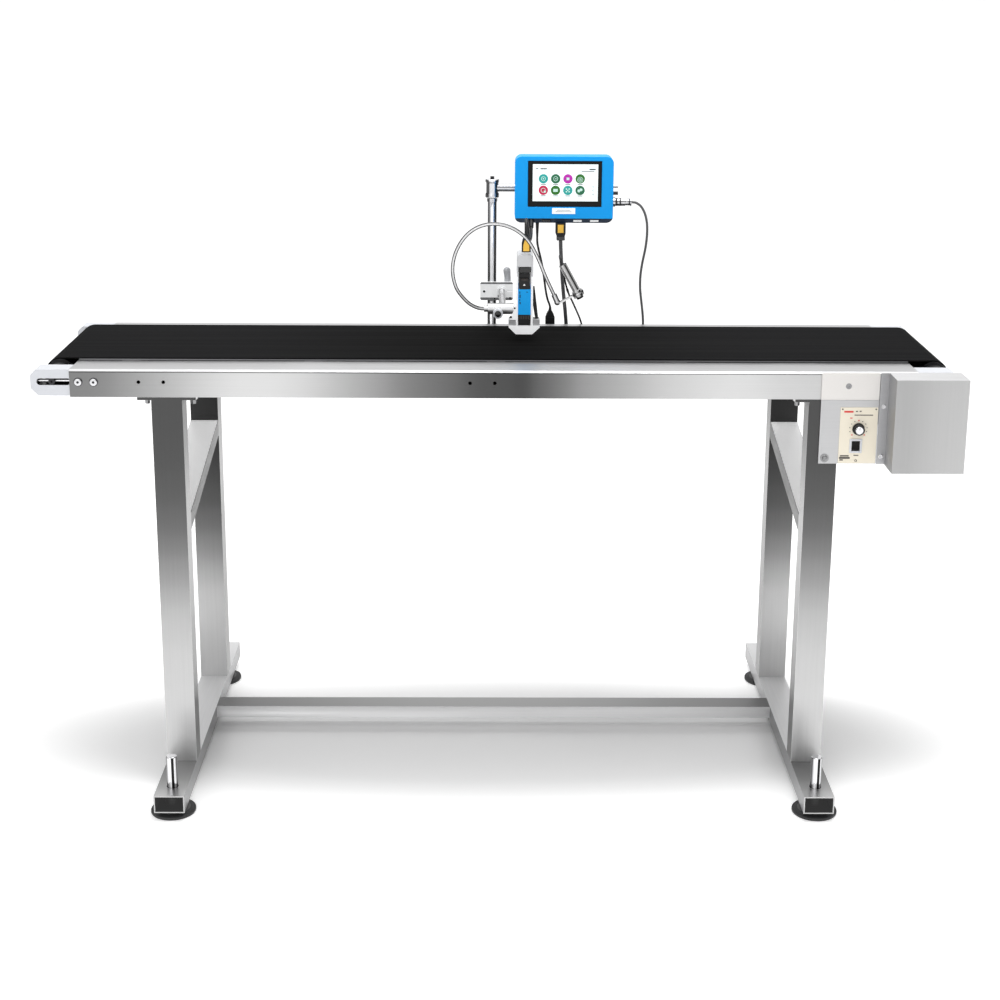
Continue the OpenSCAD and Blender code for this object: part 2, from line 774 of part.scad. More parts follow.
module rocker() {
    color("black") translate([0, rocker_y, rocker_z]) rotate([-rocker_tilt, 0, 0])
        prism_x([[-4.6, -7.3], [-3.4, 0], [-4.6, 7.3], [3, 5], [3, -5]],
            rocker_x - 6.5, rocker_x + 6.5);
}

// ---------- stand ----------

module pole_bracket() {
    color("silver") difference() {
        bx(pole_x - 25, pole_x + 25, rear_y, 214, 688, 722);
        cyl_z(687, 723, pole_x, pole_y, pole_r);
        cyl_y(pole_y, 215, pole_x, 705, m6_r + run_gap);
    }
}

module star_knob_y(x, z, y0, y1, r) {
    cyl_y(y0, y1, x, z, 0.78 * r);
    for (a = [0:60:300]) cyl_y(y0, y1, x + 0.72 * r * cos(a), z + 0.72 * r * sin(a), 0.28 * r);
}

module bracket_knob() {
    color("#202020") {
        star_knob_y(pole_x, 705, 215, 229, 14);
        cyl_y(pole_y + pole_r + fit_gap, 215, pole_x, 705, m6_r);
    }
}

module stand_rods() {
    color("silver") {
        difference() {
            cyl_z(pole_foot, pole_top, pole_x, pole_y, pole_r);
            cyl_z(pole_foot - eps, pole_top - 3, pole_x, pole_y, pole_r - 2);
        }
        cyl_x(-14, arm_end, pole_y, arm_z, arm_r);
    }
}

module top_clamp() {
    color("gray") difference() {
        translate([pole_x, pole_y, 0]) rotate_extrude()
            polygon([[0, 950], [9.5, 950], [9.5, 956], [12.5, 958], [12.5, 963], [11, 966],
                [11, 983], [12.5, 986], [12.5, 989], [11.5, 990], [0, 990]]);
        cyl_z(949, pole_top, pole_x, pole_y, pole_r);
        cyl_x(-14, 10, pole_y, arm_z, arm_r);
    }
    color("#303030") cyl_z(990, 995, pole_x, pole_y, 3.6, fn = 6);
}

module housing_outline(y0, y1, inset) {
    round_box_y(ctl_x0 + inset, ctl_x1 - inset, y0, y1, ctl_z0 + inset, ctl_z1 - inset,
        ctl_r - inset);
}

module bottom_bevel(depth) {
    prism_x([[ctl_y0 - 1, ctl_z0 - 1], [ctl_y0 + depth + 1, ctl_z0 - 1], [ctl_y0 - 1,
        ctl_z0 + depth + 1]], ctl_x0 - 1, ctl_x1 + 1);
}

module controller_front() {
    wall = 3;
    color("#1e9cf5") difference() {
        housing_outline(ctl_y0, ctl_split, 0);
        bottom_bevel(ctl_bevel);
        difference() {
            housing_outline(ctl_y0 + 4.5, ctl_split + eps, wall);
            bottom_bevel(ctl_bevel + 6);
        }
        bx(56.5, 187.5, ctl_y0 - eps, ctl_y0 + 2.2, 947, 1028.5);
    }
}

module controller_back() {
    wall = 3;
    color("#1e9cf5") difference() {
        housing_outline(ctl_split, ctl_y1, 0);
        housing_outline(ctl_split - eps, ctl_y1 - wall, wall);
    }
    color("gray") difference() {
        bx(96, 150, ctl_y1, 204, arm_z - 13, arm_z + 13);
        cyl_x(95, arm_end, pole_y, arm_z, arm_r);
    }
}

module screen() {
    color("black") bx(57, 187, ctl_y0 + 0.2, ctl_y0 + 2.2, 947.5, 1028);
}

// A cable's moulded boot: a cylinder that leaves the 45 degree bevel square to it
module bevel_boot(x, r, len) {
    translate([x, ctl_y0 + ctl_bevel / 2, ctl_z0 + ctl_bevel / 2]) rotate([135, 0, 0])
        cylinder(h = len, r1 = r, r2 = r - 0.8);
}

module controller_fittings() {
    color("dimgray") {
        for (z = [983, 970.5]) cyl_x(ctl_x1, ctl_x1 + 9, port_y, z, 3);
        bevel_boot(63, 5, 15.5);
        cyl_z(889, ctl_z0, 74.5, 156, 1.8, 3.2);
    }
    color("silver") {
        cyl_x(ctl_x1, ctl_x1 + 4, port_y, gx_z, 8.5);
        cyl_x(ctl_x1 + 4, ctl_x1 + 22, port_y, gx_z, 7);
        cyl_x(ctl_x1 + 22, ctl_x1 + 31, port_y, gx_z, 6);
        cyl_x(ctl_x1 + 31, 241, port_y, gx_z, 7.4);
    }
    color("#181818") {
        prism_y([[106.8, ctl_z0], [106.8, 899], [109.4, 893], [109.4, 886], [123.4, 886],
            [123.4, 893], [125, 899], [125, ctl_z0]], 150.5, 161.5);
    }
    color("white") {
        bx(100, 141, ctl_y0 - 0.6, ctl_y0, 934.8, 945.2);
        for (x = [145.6, 175.4]) translate([x, ctl_y0 + ctl_bevel / 2, ctl_z0 + ctl_bevel / 2])
            rotate([45, 0, 0]) bx(-7.5, 7.5, -0.7, 0, -2.5, 2.5);
    }
}

// ---------- print head and its arm ----------

module clamp_block() {
    y0 = 178;
    y1 = 206;
    color("#e8e8e8") difference() {
        union() {
            prism_y([[block_x0 + 2, block_z0], [block_x1 - 2, block_z0],
                [block_x1, block_z0 + 2], [block_x1, block_z1 - 2], [block_x1 - 2, block_z1],
                [block_x0 + 2, block_z1], [block_x0, block_z1 - 2], [block_x0, block_z0 + 2]],
                y0, y1);
            cyl_y(y0 - 2, y0 + 1, rod_x, head_z, 8.6);
        }
        cyl_z(block_z0 - 1, block_z1 + 1, pole_x, pole_y, pole_r + run_gap);
        cyl_y(y0 - 3, y1 + 1, rod_x, head_z, rod_r + run_gap);
        bx(rod_x + rod_r - 0.5, block_x1 + 1, y0 - 3, y1 + 1, head_z - 0.6, head_z + 0.6);
        cyl_z(block_z0 - 1, block_z1 + 1, lever_x, pole_y, 2.5 + run_gap);
        cyl_y(y0 - 1, y0 + 6, -20, head_z, 2.1);
    }
}

module clamp_lever() {
    color("#b8bcc0") {
        cyl_z(block_z0 + 2, block_z1 + 0.1, lever_x, pole_y, 2.5);
        cyl_z(block_z1 + 0.1, block_z1 + 7, lever_x, pole_y, 6);
        translate([lever_x, pole_y, block_z1 + 5]) rotate([0, -5, 0]) {
            cylinder(h = 14, r1 = 5.8, r2 = 6.6);
            translate([0, 0, 14]) sphere(r = 6.6);
        }
    }
}

module cross_rod() {
    color("silver") cyl_y(24, 232, rod_x, head_z, rod_r);
}

module front_clamp() {
    color("#e0e0e0") difference() {
        union() {
            cyl_x(-13, 31, clamp_y, clamp_z, clamp_r);
            cyl_x(-20, -13, clamp_y - 1, clamp_z, 5.5);
        }
        cyl_y(24, 41, rod_x, head_z, rod_r);
        cyl_x(-20.5, -15, 28, 786, neck_r);
        cyl_y(15, 27, hknob_x, hknob_z, 2.5 + run_gap);
    }
}

module front_knob() {
    color("white") {
        cyl_y(11.5, 20, hknob_x, hknob_z, 8.6);
        cyl_y(20, 26.5, hknob_x, hknob_z, 2.5);
    }
    color("black") cyl_y(10.5, 11.5, hknob_x, hknob_z, 5.8);
}

module head_frame() {
    wall = 1.7;
    top = 863;
    color("white") difference() {
        union() {
            bx(frame_x0, frame_x1, head_y0, head_y1, foot_z + 12, top);
            bx(frame_x0, frame_x1, head_y0, 62, top, 879);
            cyl_y(head_y0, 62, frame_x0 + 4, 879, 4);
            cyl_y(head_y0, 62, frame_x1 - 4, 879, 4);
            bx(frame_x0 + 4, frame_x1 - 4, head_y0, 62, 878, 883);
            bx(47, 56, plug_y - 5, plug_y + 5, 882, 887);
            prism_y([[22.5, foot_z + 12], [35, foot_z], [63, foot_z], [76, foot_z + 12],
                [76, foot_z + 15], [22.5, foot_z + 15]], head_y0, 70);
            prism_y([[frame_x0 + 1, 797], [frame_x0, 797], [24, 771.2], [24, 770.8],
                [frame_x0 + 1, 770.8]], head_y0, head_y0 + 4);
            bx(31, frame_x0 + 1, 18, 42, 774, 798);
        }
        bx(frame_x0 + wall, frame_x1 - 3.4, head_y0 - eps, head_y1 - 4, foot_z + 15, top);
        bx(43, 57, 20, 60, foot_z - eps, foot_z + 16);
        cyl_x(frame_x0 - eps, frame_x1 + eps, latch_y, latch_z, 1.5 + run_gap);
    }
    color("gray") {
        bx(22.8, 35, 10, 34, foot_z + 15, 770.5);
        bx(frame_x1 + 0.3, 76, 10, 34, foot_z + 15, 770.5);
    }
    color("black") prism_y([[frame_x1, 826], [frame_x1 + 3, 826], [73.8, 770.7], [68.2, 770.7],
        [frame_x1, 796]], 20, 32);
}

module latch() {
    color("#151515") {
        prism_x([[8.6, 853.2], [12.4, 853.2], [13, 854], [13, 862.2], [9.4, 862.2], [8.6, 861]],
            40.5, 58.5);
        cyl_x(frame_x0 + 0.2, 40.5, latch_y, latch_z, 1.5);
        cyl_x(58.5, frame_x1 - 0.2, latch_y, latch_z, 1.5);
    }
}

module cartridge() {
    color("#151515") {
        bx(40.3, 58.7, 14, 70, 842, 850);
        bx(40.3, 58.7, 9, 70, 824, 842);
        bx(39, 59.8, 9, 70, 761, 779.3);
        bx(44, 56, 22, 58, 748, 761);
    }
    color("#1e9cf5") bx(38.6, 60.2, 9, 70, 779.3, 824);
}

// ---------- sensor on its flexible arm ----------

module gooseneck() {
    color("silver") tube(smooth(neck_pts, 2), neck_r, 10, [0, 1, 0]);
}

// Draws its children along the sensor's own axis, z = 0 at the lower end of the barrel
module along_sensor() {
    translate(sensor_pos) rotate([0, -sensor_a, 0]) children();
}

module sensor_bracket() {
    color("#d8d8d8") {
        difference() {
            translate(neck_end) rotate([0, 156, 0]) translate([0, 0, -3.5])
                cylinder(h = 12.5, r = 4.8);
            translate(neck_end) rotate([0, 156, 0]) translate([0, 0, -4.5])
                cylinder(h = 4.5, r = neck_r);
        }
        difference() {
            union() {
                translate(swivel) sphere(r = 5.4);
                along_sensor() {
                    translate([0, 0, plate_low]) cylinder(h = 3, r = 10.5);
                    translate([-38, -4, plate_low]) cube([38, 8, 3]);
                }
            }
            along_sensor() translate([0, 0, -5]) cylinder(h = 30, r = sensor_r + run_gap);
        }
    }
}

module sensor() {
    nut_up = plate_low + 3.2;
    nut_down = plate_low - 4.2;
    along_sensor() {
        color("silver") {
            translate([0, 0, -8]) cylinder(h = sensor_len + 8, r = sensor_r);
            difference() {
                translate([0, 0, nut_up]) cylinder(h = 4, r = 9.2);
                translate([0, 0, nut_up - 1]) cylinder(h = 6, r = sensor_r);
            }
            difference() {
                translate([0, 0, nut_down]) cylinder(h = 4, r = 10);
                translate([0, 0, nut_down - 1]) cylinder(h = 6, r = sensor_r);
            }
        }
        color("#181818") {
            translate([0, 0, -11]) cylinder(h = 3, r = 6.2);
            translate([0, 0, sensor_len]) cylinder(h = 3, r1 = 3.4, r2 = 2.2);
        }
    }
}

// ---------- cables ----------

module junction_box() {
    t = 2.5;
    inlet_y = 204;
    inlet_z = 676;
    holes = [[131, data_cable_r], [160, sensor_cable_r], [272, power_cable_r]];
    color("#3a3d40") difference() {
        bx(jb_x0, jb_x1, rear_y, jb_y1 - t, jb_z0, jb_z1);
        bx(jb_x0 + t, jb_x1 - t, rear_y + t, jb_y1, jb_z0 + t, jb_z1 - t);
        for (h = holes) cyl_z(jb_z1 - t - eps, jb_z1 + eps, h[0], jb_cable_y, h[1] + 3);
        bx(jb_x1 - t - eps, jb_x1 + eps, inlet_y - 14, inlet_y + 14, inlet_z - 10.5, inlet_z + 10.5);
    }
    color("#3a3d40") bx(jb_x0, jb_x1, jb_y1 - t, jb_y1, jb_z0, jb_z1);
    color("black") {
        for (h = holes) difference() {
            union() {
                cyl_z(jb_z1 - t, jb_z1 + 4, h[0], jb_cable_y, h[1] + 3);
                cyl_z(jb_z1, jb_z1 + 2, h[0], jb_cable_y, h[1] + 4.5);
            }
            cyl_z(jb_z1 - t - eps, jb_z1 + 5, h[0], jb_cable_y, h[1]);
        }
        difference() {
            union() {
                bx(jb_x1 - 18, jb_x1 + 1, inlet_y - 14, inlet_y + 14, inlet_z - 10.5,
                    inlet_z + 10.5);
                bx(jb_x1, jb_x1 + 2, inlet_y - 16, inlet_y + 16, inlet_z - 12.5, inlet_z + 12.5);
            }
            bx(jb_x1 - 16, jb_x1 + 3, inlet_y - 12, inlet_y + 12, inlet_z - 8.5, inlet_z + 8.5);
        }
    }
    color("silver") for (p = [[-7, -2], [0, 2], [7, -2]])
        bx(jb_x1 - 16, jb_x1 - 6, inlet_y + p[0] - 1, inlet_y + p[0] + 1, inlet_z + p[1] - 2,
            inlet_z + p[1] + 2);
}

module inline_plug() {
    color("#151515") {
        bx(92.5, 109.5, 199, 211, jb_z1, 736);
        prism_y([[92.5, 736], [109.5, 736], [107, 743], [104, 748], [98, 748], [95, 743]],
            200, 210);
        cyl_z(748, 754, 101, jb_cable_y, 3, 2.2);
    }
}

module head_plug() {
    color("#151515") {
        prism_y([[44, 887.1], [59.6, 887.1], [59.6, 902], [57.4, 910], [46, 910], [44, 902]],
            plug_y - 5, plug_y + 5);
        cyl_z(910, 917.8, plug_x, plug_y, 5, 3.6);
    }
    color("goldenrod") prism_y([[46.6, 889], [57, 889], [57, 899], [54.6, 907.5], [49, 907.5],
        [46.6, 899]], plug_y - 5.6, plug_y - 5);
}

module head_cable() {
    color("#1a1a1a") tube(head_cable_pts, head_cable_r, 8, [1, 0, 0]);
}

module link_cable() {
    color("#1a1a1a") tube(link_cable_pts, link_cable_r, 8, [1, 0, 0]);
}

module data_cable() {
    color("#2c2c2c") tube(data_cable_pts, data_cable_r, 8, [1, 0, 0]);
}

module power_cable() {
    color("#5a5a5a") tube(power_cable_pts, power_cable_r, 8, [0, 1, 0]);
}

module sensor_cable() {
    color("#1a1a1a") tube(sensor_cable_pts, sensor_cable_r, 8, [0, 1, 0]);
}

front_rail();
rear_rail();
slider_bed();
conveyor_belt();
tail_blocks();
head_blocks();
rail_screws();
uprights();
braces();
base_frame();
plate_bolts();
head_bearings();
drive_plate();
drive_cover();
cover_screws();
gear_motor();
timing_belt();
control_box();
cover_plate();
control_panel();
speed_board();
left_front_foot();
left_rear_foot();
right_front_foot();
right_rear_foot();
tail_shaft();
tail_roller();
front_tension_screw();
rear_tension_screw();
drive_roller();
motor_pulley();
speed_knob();
rocker();
pole_bracket();
bracket_knob();
stand_rods();
top_clamp();
controller_back();
controller_front();
screen();
controller_fittings();
clamp_block();
clamp_lever();
cross_rod();
front_clamp();
front_knob();
head_frame();
latch();
cartridge();
gooseneck();
sensor_bracket();
sensor();
junction_box();
head_cable();
head_plug();
link_cable();
inline_plug();
data_cable();
power_cable();
sensor_cable();
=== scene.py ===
import bpy
import bmesh
import math
from mathutils import Vector, Matrix


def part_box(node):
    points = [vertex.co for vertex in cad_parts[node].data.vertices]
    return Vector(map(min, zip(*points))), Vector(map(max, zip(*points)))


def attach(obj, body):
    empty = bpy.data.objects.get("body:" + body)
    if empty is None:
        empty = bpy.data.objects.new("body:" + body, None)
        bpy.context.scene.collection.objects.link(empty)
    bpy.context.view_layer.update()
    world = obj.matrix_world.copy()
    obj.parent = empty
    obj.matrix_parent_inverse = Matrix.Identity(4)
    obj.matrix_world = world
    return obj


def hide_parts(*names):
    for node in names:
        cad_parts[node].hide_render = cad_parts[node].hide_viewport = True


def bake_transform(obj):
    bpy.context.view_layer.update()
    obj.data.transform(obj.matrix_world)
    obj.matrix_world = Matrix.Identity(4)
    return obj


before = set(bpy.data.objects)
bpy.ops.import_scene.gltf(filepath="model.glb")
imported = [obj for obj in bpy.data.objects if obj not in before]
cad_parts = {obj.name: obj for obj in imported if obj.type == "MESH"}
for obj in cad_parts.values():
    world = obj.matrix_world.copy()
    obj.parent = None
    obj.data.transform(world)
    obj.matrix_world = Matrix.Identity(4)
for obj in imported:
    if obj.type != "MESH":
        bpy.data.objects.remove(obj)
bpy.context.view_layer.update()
MM = 0.001
WHITE = (1.0, 1.0, 1.0, 1.0)
UP, TO_FRONT = (0, 0, 1), (0, -1, 0)
CAMERA_PLACE = (-0.018, -2.9155, 1.373)
CAMERA_TILT, CAMERA_PAN, CAMERA_ROLL = math.radians(14.29), 0.009, 0.0055
LENS, SENSOR_WIDTH, SHIFT_Y = 62.39, 36.0, -0.1
FINE = 0.0002            # depth in metres of scratches and of moulded texture
SOFT_EDGE = 0.0005       # radius in metres that shading gives a plastic's edges
SCUFF = 0.05             # how far rubbed patches change a plastic's roughness
WEAVE = 0.0015           # pitch of the belt's fabric print, in metres
ROUND_FROM, SHARP_FROM = 32.0, 50.0      # degrees: edges that are rounded, or shaded sharp
CORD_STEPS = 6           # points of a cable's path between two of its knots
BEAM_X, STRETCHER_END = 532, 500         # mm: middle of a foot beam, half of the stretcher
PLATE_UNDERSIDE = 678.5                  # mm: the uprights' welded plates start here
KNOB_X, KNOB_Z = 588.5, 636.0            # mm: the speed knob


# ---------------- camera, world, lights, floor

def make_camera():
    """The picture's viewpoint: 2.7 m in front of the rail and 1.37 m up, tilted down."""
    tilt, pan, roll = CAMERA_TILT, CAMERA_PAN, CAMERA_ROLL
    ahead = Vector((math.sin(pan) * math.cos(tilt), math.cos(pan) * math.cos(tilt),
                    -math.sin(tilt)))
    right = Vector((math.cos(pan), -math.sin(pan), 0))
    up = right.cross(ahead)
    side = math.cos(roll) * right + math.sin(roll) * up
    top = -math.sin(roll) * right + math.cos(roll) * up
    cam = bpy.data.cameras.new("camera")
    cam.lens, cam.sensor_width, cam.shift_y = LENS, SENSOR_WIDTH, SHIFT_Y
    cam.clip_start, cam.clip_end = 0.1, 100
    ob = bpy.data.objects.new("camera", cam)
    m = Matrix.Identity(4)
    for i, v in enumerate((side, top, -ahead)):
        for j in range(3):
            m[j][i] = v[j]
    m.translation = Vector(CAMERA_PLACE)
    ob.matrix_world = m
    bpy.context.scene.collection.objects.link(ob)
    bpy.context.scene.camera = ob


class Tree:
    """Short names for building a node tree."""

    def __init__(self, nt):
        self.nt = nt

    def add(self, kind, **props):
        n = self.nt.nodes.new(kind)
        for k, v in props.items():
            setattr(n, k, v)
        return n

    def link(self, a, b):
        self.nt.links.new(a, b)

    def feed(self, socket, v):
        """Gives a socket a value, or the output of another node."""
        if isinstance(v, (int, float, tuple)):
            socket.default_value = v
        else:
            self.link(v, socket)

    def maths(self, op, *values):
        n = self.add("ShaderNodeMath", operation=op)
        for socket, v in zip(n.inputs, values):
            self.feed(socket, v)
        return n.outputs[0]

    def spread(self, value, low, high, lo_in=0.3, hi_in=0.7, smooth=False):
        """Maps lo_in to hi_in onto low to high, and holds the ends."""
        r = self.add("ShaderNodeMapRange")
        if smooth:
            r.interpolation_type = "SMOOTHSTEP"
        for socket, v in (("From Min", lo_in), ("From Max", hi_in), ("To Min", low),
                          ("To Max", high)):
            r.inputs[socket].default_value = v
        self.link(value, r.inputs["Value"])
        return r.outputs[0]


def make_world():
    """A white studio with dark flags at the sides, which draw the dark lines on bright metal."""
    world = bpy.data.worlds.new("studio")
    bpy.context.scene.world = world
    world.use_nodes = True
    t = Tree(world.node_tree)
    t.nt.nodes.clear()

    def window(value, a, b, c, d):
        """1 between b and c, falling to 0 at a and d."""
        return t.maths("MULTIPLY", t.spread(value, 0.0, 1.0, a, b, True),
                       t.spread(value, 0.0, 1.0, d, c, True))
    split = t.add("ShaderNodeSeparateXYZ")
    t.link(t.add("ShaderNodeTexCoord").outputs["Generated"], split.inputs[0])
    x, y, z = split.outputs
    wide = t.maths("ABSOLUTE", x)
    right = t.maths("MULTIPLY", window(x, 0.40, 0.50, 0.78, 0.90),
                    window(y, 0.0, -0.12, -2.0, -2.1))
    sides = t.maths("MULTIPLY", window(wide, 0.80, 0.90, 0.97, 1.01), 0.75)
    rear = t.maths("MULTIPLY", window(wide, 0.42, 0.55, 0.8, 0.9), window(y, 0.0, 0.2, 2.0, 2.1))
    flags = t.maths("MAXIMUM", t.maths("MAXIMUM", right, sides), rear)
    low = window(z, 0.75, 0.45, -2.0, -2.1)
    dark = t.maths("MULTIPLY", t.maths("MULTIPLY", flags, low), 0.9)
    room = t.add("ShaderNodeBackground")
    t.link(t.maths("SUBTRACT", 1.12, dark), room.inputs["Strength"])
    plain = t.add("ShaderNodeBackground")
    plain.inputs["Color"].default_value = WHITE
    mix = t.add("ShaderNodeMixShader")
    t.link(t.add("ShaderNodeLightPath").outputs["Is Camera Ray"], mix.inputs[0])
    t.link(room.outputs[0], mix.inputs[1])
    t.link(plain.outputs[0], mix.inputs[2])
    t.link(mix.outputs[0], t.add("ShaderNodeOutputWorld").inputs[0])
    bpy.context.scene.view_settings.view_transform = "Standard"


def area_light(name, where, target, size, power):
    light = bpy.data.lights.new(name, "AREA")
    light.shape = "RECTANGLE"
    light.size, light.size_y = size
    light.energy = power
    ob = bpy.data.objects.new(name, light)
    ob.location = where
    ob.rotation_euler = (Vector(target) - Vector(where)).to_track_quat("-Z", "Y").to_euler()
    bpy.context.scene.collection.objects.link(ob)


def make_lights():
    area_light("top_softbox", (0.1, 0.1, 3.2), (0, 0, 0.4), (2.6, 1.4), 60)
    area_light("front_softbox", (-1.4, -3.6, 2.0), (0, 0, 0.6), (2.0, 1.6), 15)


# ---------------- materials

def srgb(r, g, b):
    return tuple((c / 255 / 12.92 if c <= 10 else ((c / 255 + 0.055) / 1.055) ** 2.4)
                 for c in (r, g, b)) + (1.0,)


class Nodes(Tree):
    """A material, with the few kinds of node that the materials are made of."""

    def __init__(self, name):
        self.m = bpy.data.materials.new(name)
        self.m.use_nodes = True
        super().__init__(self.m.node_tree)
        self.p = self.nt.nodes["Principled BSDF"]
        self.places = self.add("ShaderNodeTexCoord")
        self.coord = self.places.outputs["Object"]

    def noise(self, scale, detail=4.0, rough=0.55):
        """Noise with its own scale along X, Y and Z."""
        mapping = self.add("ShaderNodeMapping")
        mapping.inputs["Scale"].default_value = scale
        tex = self.add("ShaderNodeTexNoise")
        tex.inputs["Scale"].default_value = 1.0
        tex.inputs["Detail"].default_value = detail
        tex.inputs["Roughness"].default_value = rough
        self.link(self.coord, mapping.inputs[0])
        self.link(mapping.outputs[0], tex.inputs["Vector"])
        return tex.outputs["Fac"]

    def axis(self, which):
        split = self.add("ShaderNodeSeparateXYZ")
        self.link(self.coord, split.inputs[0])
        return split.outputs[which]

    def blend(self, fac, a, b, mode="MIX"):
        n = self.add("ShaderNodeMix", data_type="RGBA", blend_type=mode)
        for sock, v in ((n.inputs[0], fac), (n.inputs[6], a), (n.inputs[7], b)):
            self.feed(sock, v)
        return n.outputs[2]

    def ramp(self, value, stops, mode="EASE"):
        """A grey ramp: stops are (position, brightness)."""
        n = self.add("ShaderNodeValToRGB")
        n.color_ramp.interpolation = mode
        e = n.color_ramp.elements
        while len(e) > 1:
            e.remove(e[-1])
        for i, (pos, v) in enumerate(stops):
            item = e[0] if i == 0 else e.new(pos)
            item.position = pos
            item.color = (v, v, v, 1)
        self.link(value, n.inputs[0])
        return n.outputs[0]

    def relief(self, height, strength, distance, edge=0.0):
        bump = self.add("ShaderNodeBump")
        bump.inputs["Strength"].default_value = strength
        bump.inputs["Distance"].default_value = distance
        self.link(height, bump.inputs["Height"])
        if edge:
            soft = self.add("ShaderNodeBevel", samples=4)
            soft.inputs["Radius"].default_value = edge
            self.link(soft.outputs[0], bump.inputs["Normal"])
        self.link(bump.outputs[0], self.p.inputs["Normal"])

    def set(self, **values):
        for k, v in values.items():
            self.p.inputs[k.replace("_", " ")].default_value = v


def brushed(name, colour, grain, rough=0.34, painted_reflection=None, axis="X", line=None, metal=1.0,
            streak=0.035):
    """Brushed steel: fine scratches along one direction, faint clouding, and a slow painted
    sheen, a painted reflection given as (place in metres, brightness) along an axis. The edge
    band, (axis, from, to, brightness), is a narrow band painted along an edge: painted shade
    where the brightness is below 1, a painted highlight where it is above 1."""
    n = Nodes(name)
    scratch = n.noise(grain, 3.0, 0.7)
    cloud = n.noise((5, 5, 5), 3.0)
    base = n.blend(1.0, colour, n.spread(scratch, 1 - streak, 1 + streak), "MULTIPLY")
    base = n.blend(0.3, base, n.spread(cloud, 0.88, 1.06), "MULTIPLY")
    # painted reflection: slow bands of sheen along one axis
    if painted_reflection:
        lo, hi = painted_reflection[0][0], painted_reflection[-1][0]
        shade = n.ramp(n.spread(n.axis(axis), 0.0, 1.0, lo, hi),
                       [((x - lo) / (hi - lo), v) for x, v in painted_reflection], "CARDINAL")
        base = n.blend(1.0, base, shade, "MULTIPLY")
    # a narrow painted band along an edge: painted shade below 1, painted highlight above 1
    if line:
        which, lo, hi, v = line
        mid, half = (lo + hi) / 2, (hi - lo) / 2
        off = n.maths("ABSOLUTE", n.maths("SUBTRACT", n.axis(which), mid))
        base = n.blend(1.0, base, n.spread(off, v, 1.0, half * 0.7, half * 1.2), "MULTIPLY")
    n.link(base, n.p.inputs["Base Color"])
    wear = n.maths("ADD", n.spread(scratch, -0.04, 0.04),
                   n.spread(cloud, rough - 0.03, rough + 0.05))
    n.link(wear, n.p.inputs["Roughness"])
    n.set(Metallic=metal)
    n.relief(scratch, 0.08, FINE)
    return n.m


def bright_metal(name, colour, rough=0.14, grain=(90, 90, 90), bump=0.04, metal=1.0,
                 shade=None):
    """Polished or cast metal. shade is (axis, stops): painted reflections of the studio's
    dark and bright strips, as a brightness painted by which way the surface faces along that
    axis, from -1 to 1."""
    n = Nodes(name)
    fine = n.noise(grain, 4.0)
    smear = n.noise((40, 40, 25), 2.0)
    base = n.blend(0.6, colour, n.spread(smear, 0.88, 1.06), "MULTIPLY")
    if shade:
        split = n.add("ShaderNodeSeparateXYZ")
        n.link(n.places.outputs["Normal"], split.inputs[0])
        painted_reflection = n.ramp(n.spread(split.outputs[shade[0]], 0.0, 1.0, -1.0, 1.0),
                      [((x + 1) / 2, v) for x, v in shade[1]], "LINEAR")
        base = n.blend(1.0, base, painted_reflection, "MULTIPLY")
    n.link(base, n.p.inputs["Base Color"])
    n.link(n.spread(smear, rough - 0.03, rough + 0.06), n.p.inputs["Roughness"])
    n.set(Metallic=metal)
    n.relief(fine, bump, FINE)
    return n.m


def plastic(name, colour, rough=0.4, spec=0.5, grain=900, bump=0.10, vary=0.05,
            coat=0.0):
    """Moulded plastic or paint: spark-eroded texture, slight colour variation, rubbed patches."""
    n = Nodes(name)
    fine = n.noise((grain,) * 3, 2.0)
    broad = n.noise((16, 16, 16), 3.0)
    n.link(n.blend(1.0, colour, n.spread(broad, 1 - vary, 1 + vary * 0.6), "MULTIPLY"),
           n.p.inputs["Base Color"])
    n.link(n.spread(broad, rough - SCUFF, rough + SCUFF), n.p.inputs["Roughness"])
    n.p.inputs["Specular IOR Level"].default_value = spec
    n.p.inputs["Coat Weight"].default_value = coat
    n.p.inputs["Coat Roughness"].default_value = 0.08
    n.relief(fine, bump, FINE, SOFT_EDGE)
    return n.m


def knurled(name, colour, pitch=0.0016, rough=0.5):
    """Crossed diagonal grooves pressed into grey plastic, with painted shade in the grooves and a
    painted highlight on the ridges.
    """
    n = Nodes(name)
    waves = []
    for sign in (1, -1):
        both = n.maths("ADD", n.axis("X"), n.maths("MULTIPLY", n.axis("Z"), sign))
        both = n.maths("ADD", both, n.maths("MULTIPLY", n.axis("Y"), 0.6))
        waves.append(n.maths("SINE", n.maths("MULTIPLY", both, 2 * math.pi / pitch)))
    height = n.maths("MULTIPLY", waves[0], waves[1])
    # painted shade in the grooves, painted highlight on the ridges
    n.link(n.blend(1.0, colour, n.spread(height, 0.62, 1.12, -0.6, 0.6), "MULTIPLY"),
           n.p.inputs["Base Color"])
    n.set(Roughness=rough)
    n.relief(height, 0.5, 0.0004)
    return n.m


def belting(name):
    """Smooth black belting: a fine fabric print, and a painted sheen that makes it lighter
    towards both ends.
    """
    n = Nodes(name)
    weave_x = n.maths("SINE", n.maths("MULTIPLY", n.axis("X"), 2 * math.pi / WEAVE))
    weave_y = n.maths("SINE", n.maths("MULTIPLY", n.axis("Y"), 2 * math.pi / WEAVE))
    weave = n.maths("MULTIPLY", weave_x, weave_y)
    lanes = n.noise((1.2, 55, 30), 3.0)
    away = n.maths("ABSOLUTE", n.axis("X"))
    # painted sheen: lighter away from the middle of the belt
    base = n.blend(n.spread(away, 0.0, 1.0, 0.02, 0.5, True), srgb(7, 7, 7),
                   srgb(21, 21, 22))
    base = n.blend(1.0, base, n.spread(lanes, 0.9, 1.1), "MULTIPLY")
    n.link(base, n.p.inputs["Base Color"])
    n.link(n.spread(lanes, 0.66, 0.78), n.p.inputs["Roughness"])
    n.p.inputs["Specular IOR Level"].default_value = 0.02
    n.relief(weave, 0.12, 0.0001)
    return n.m


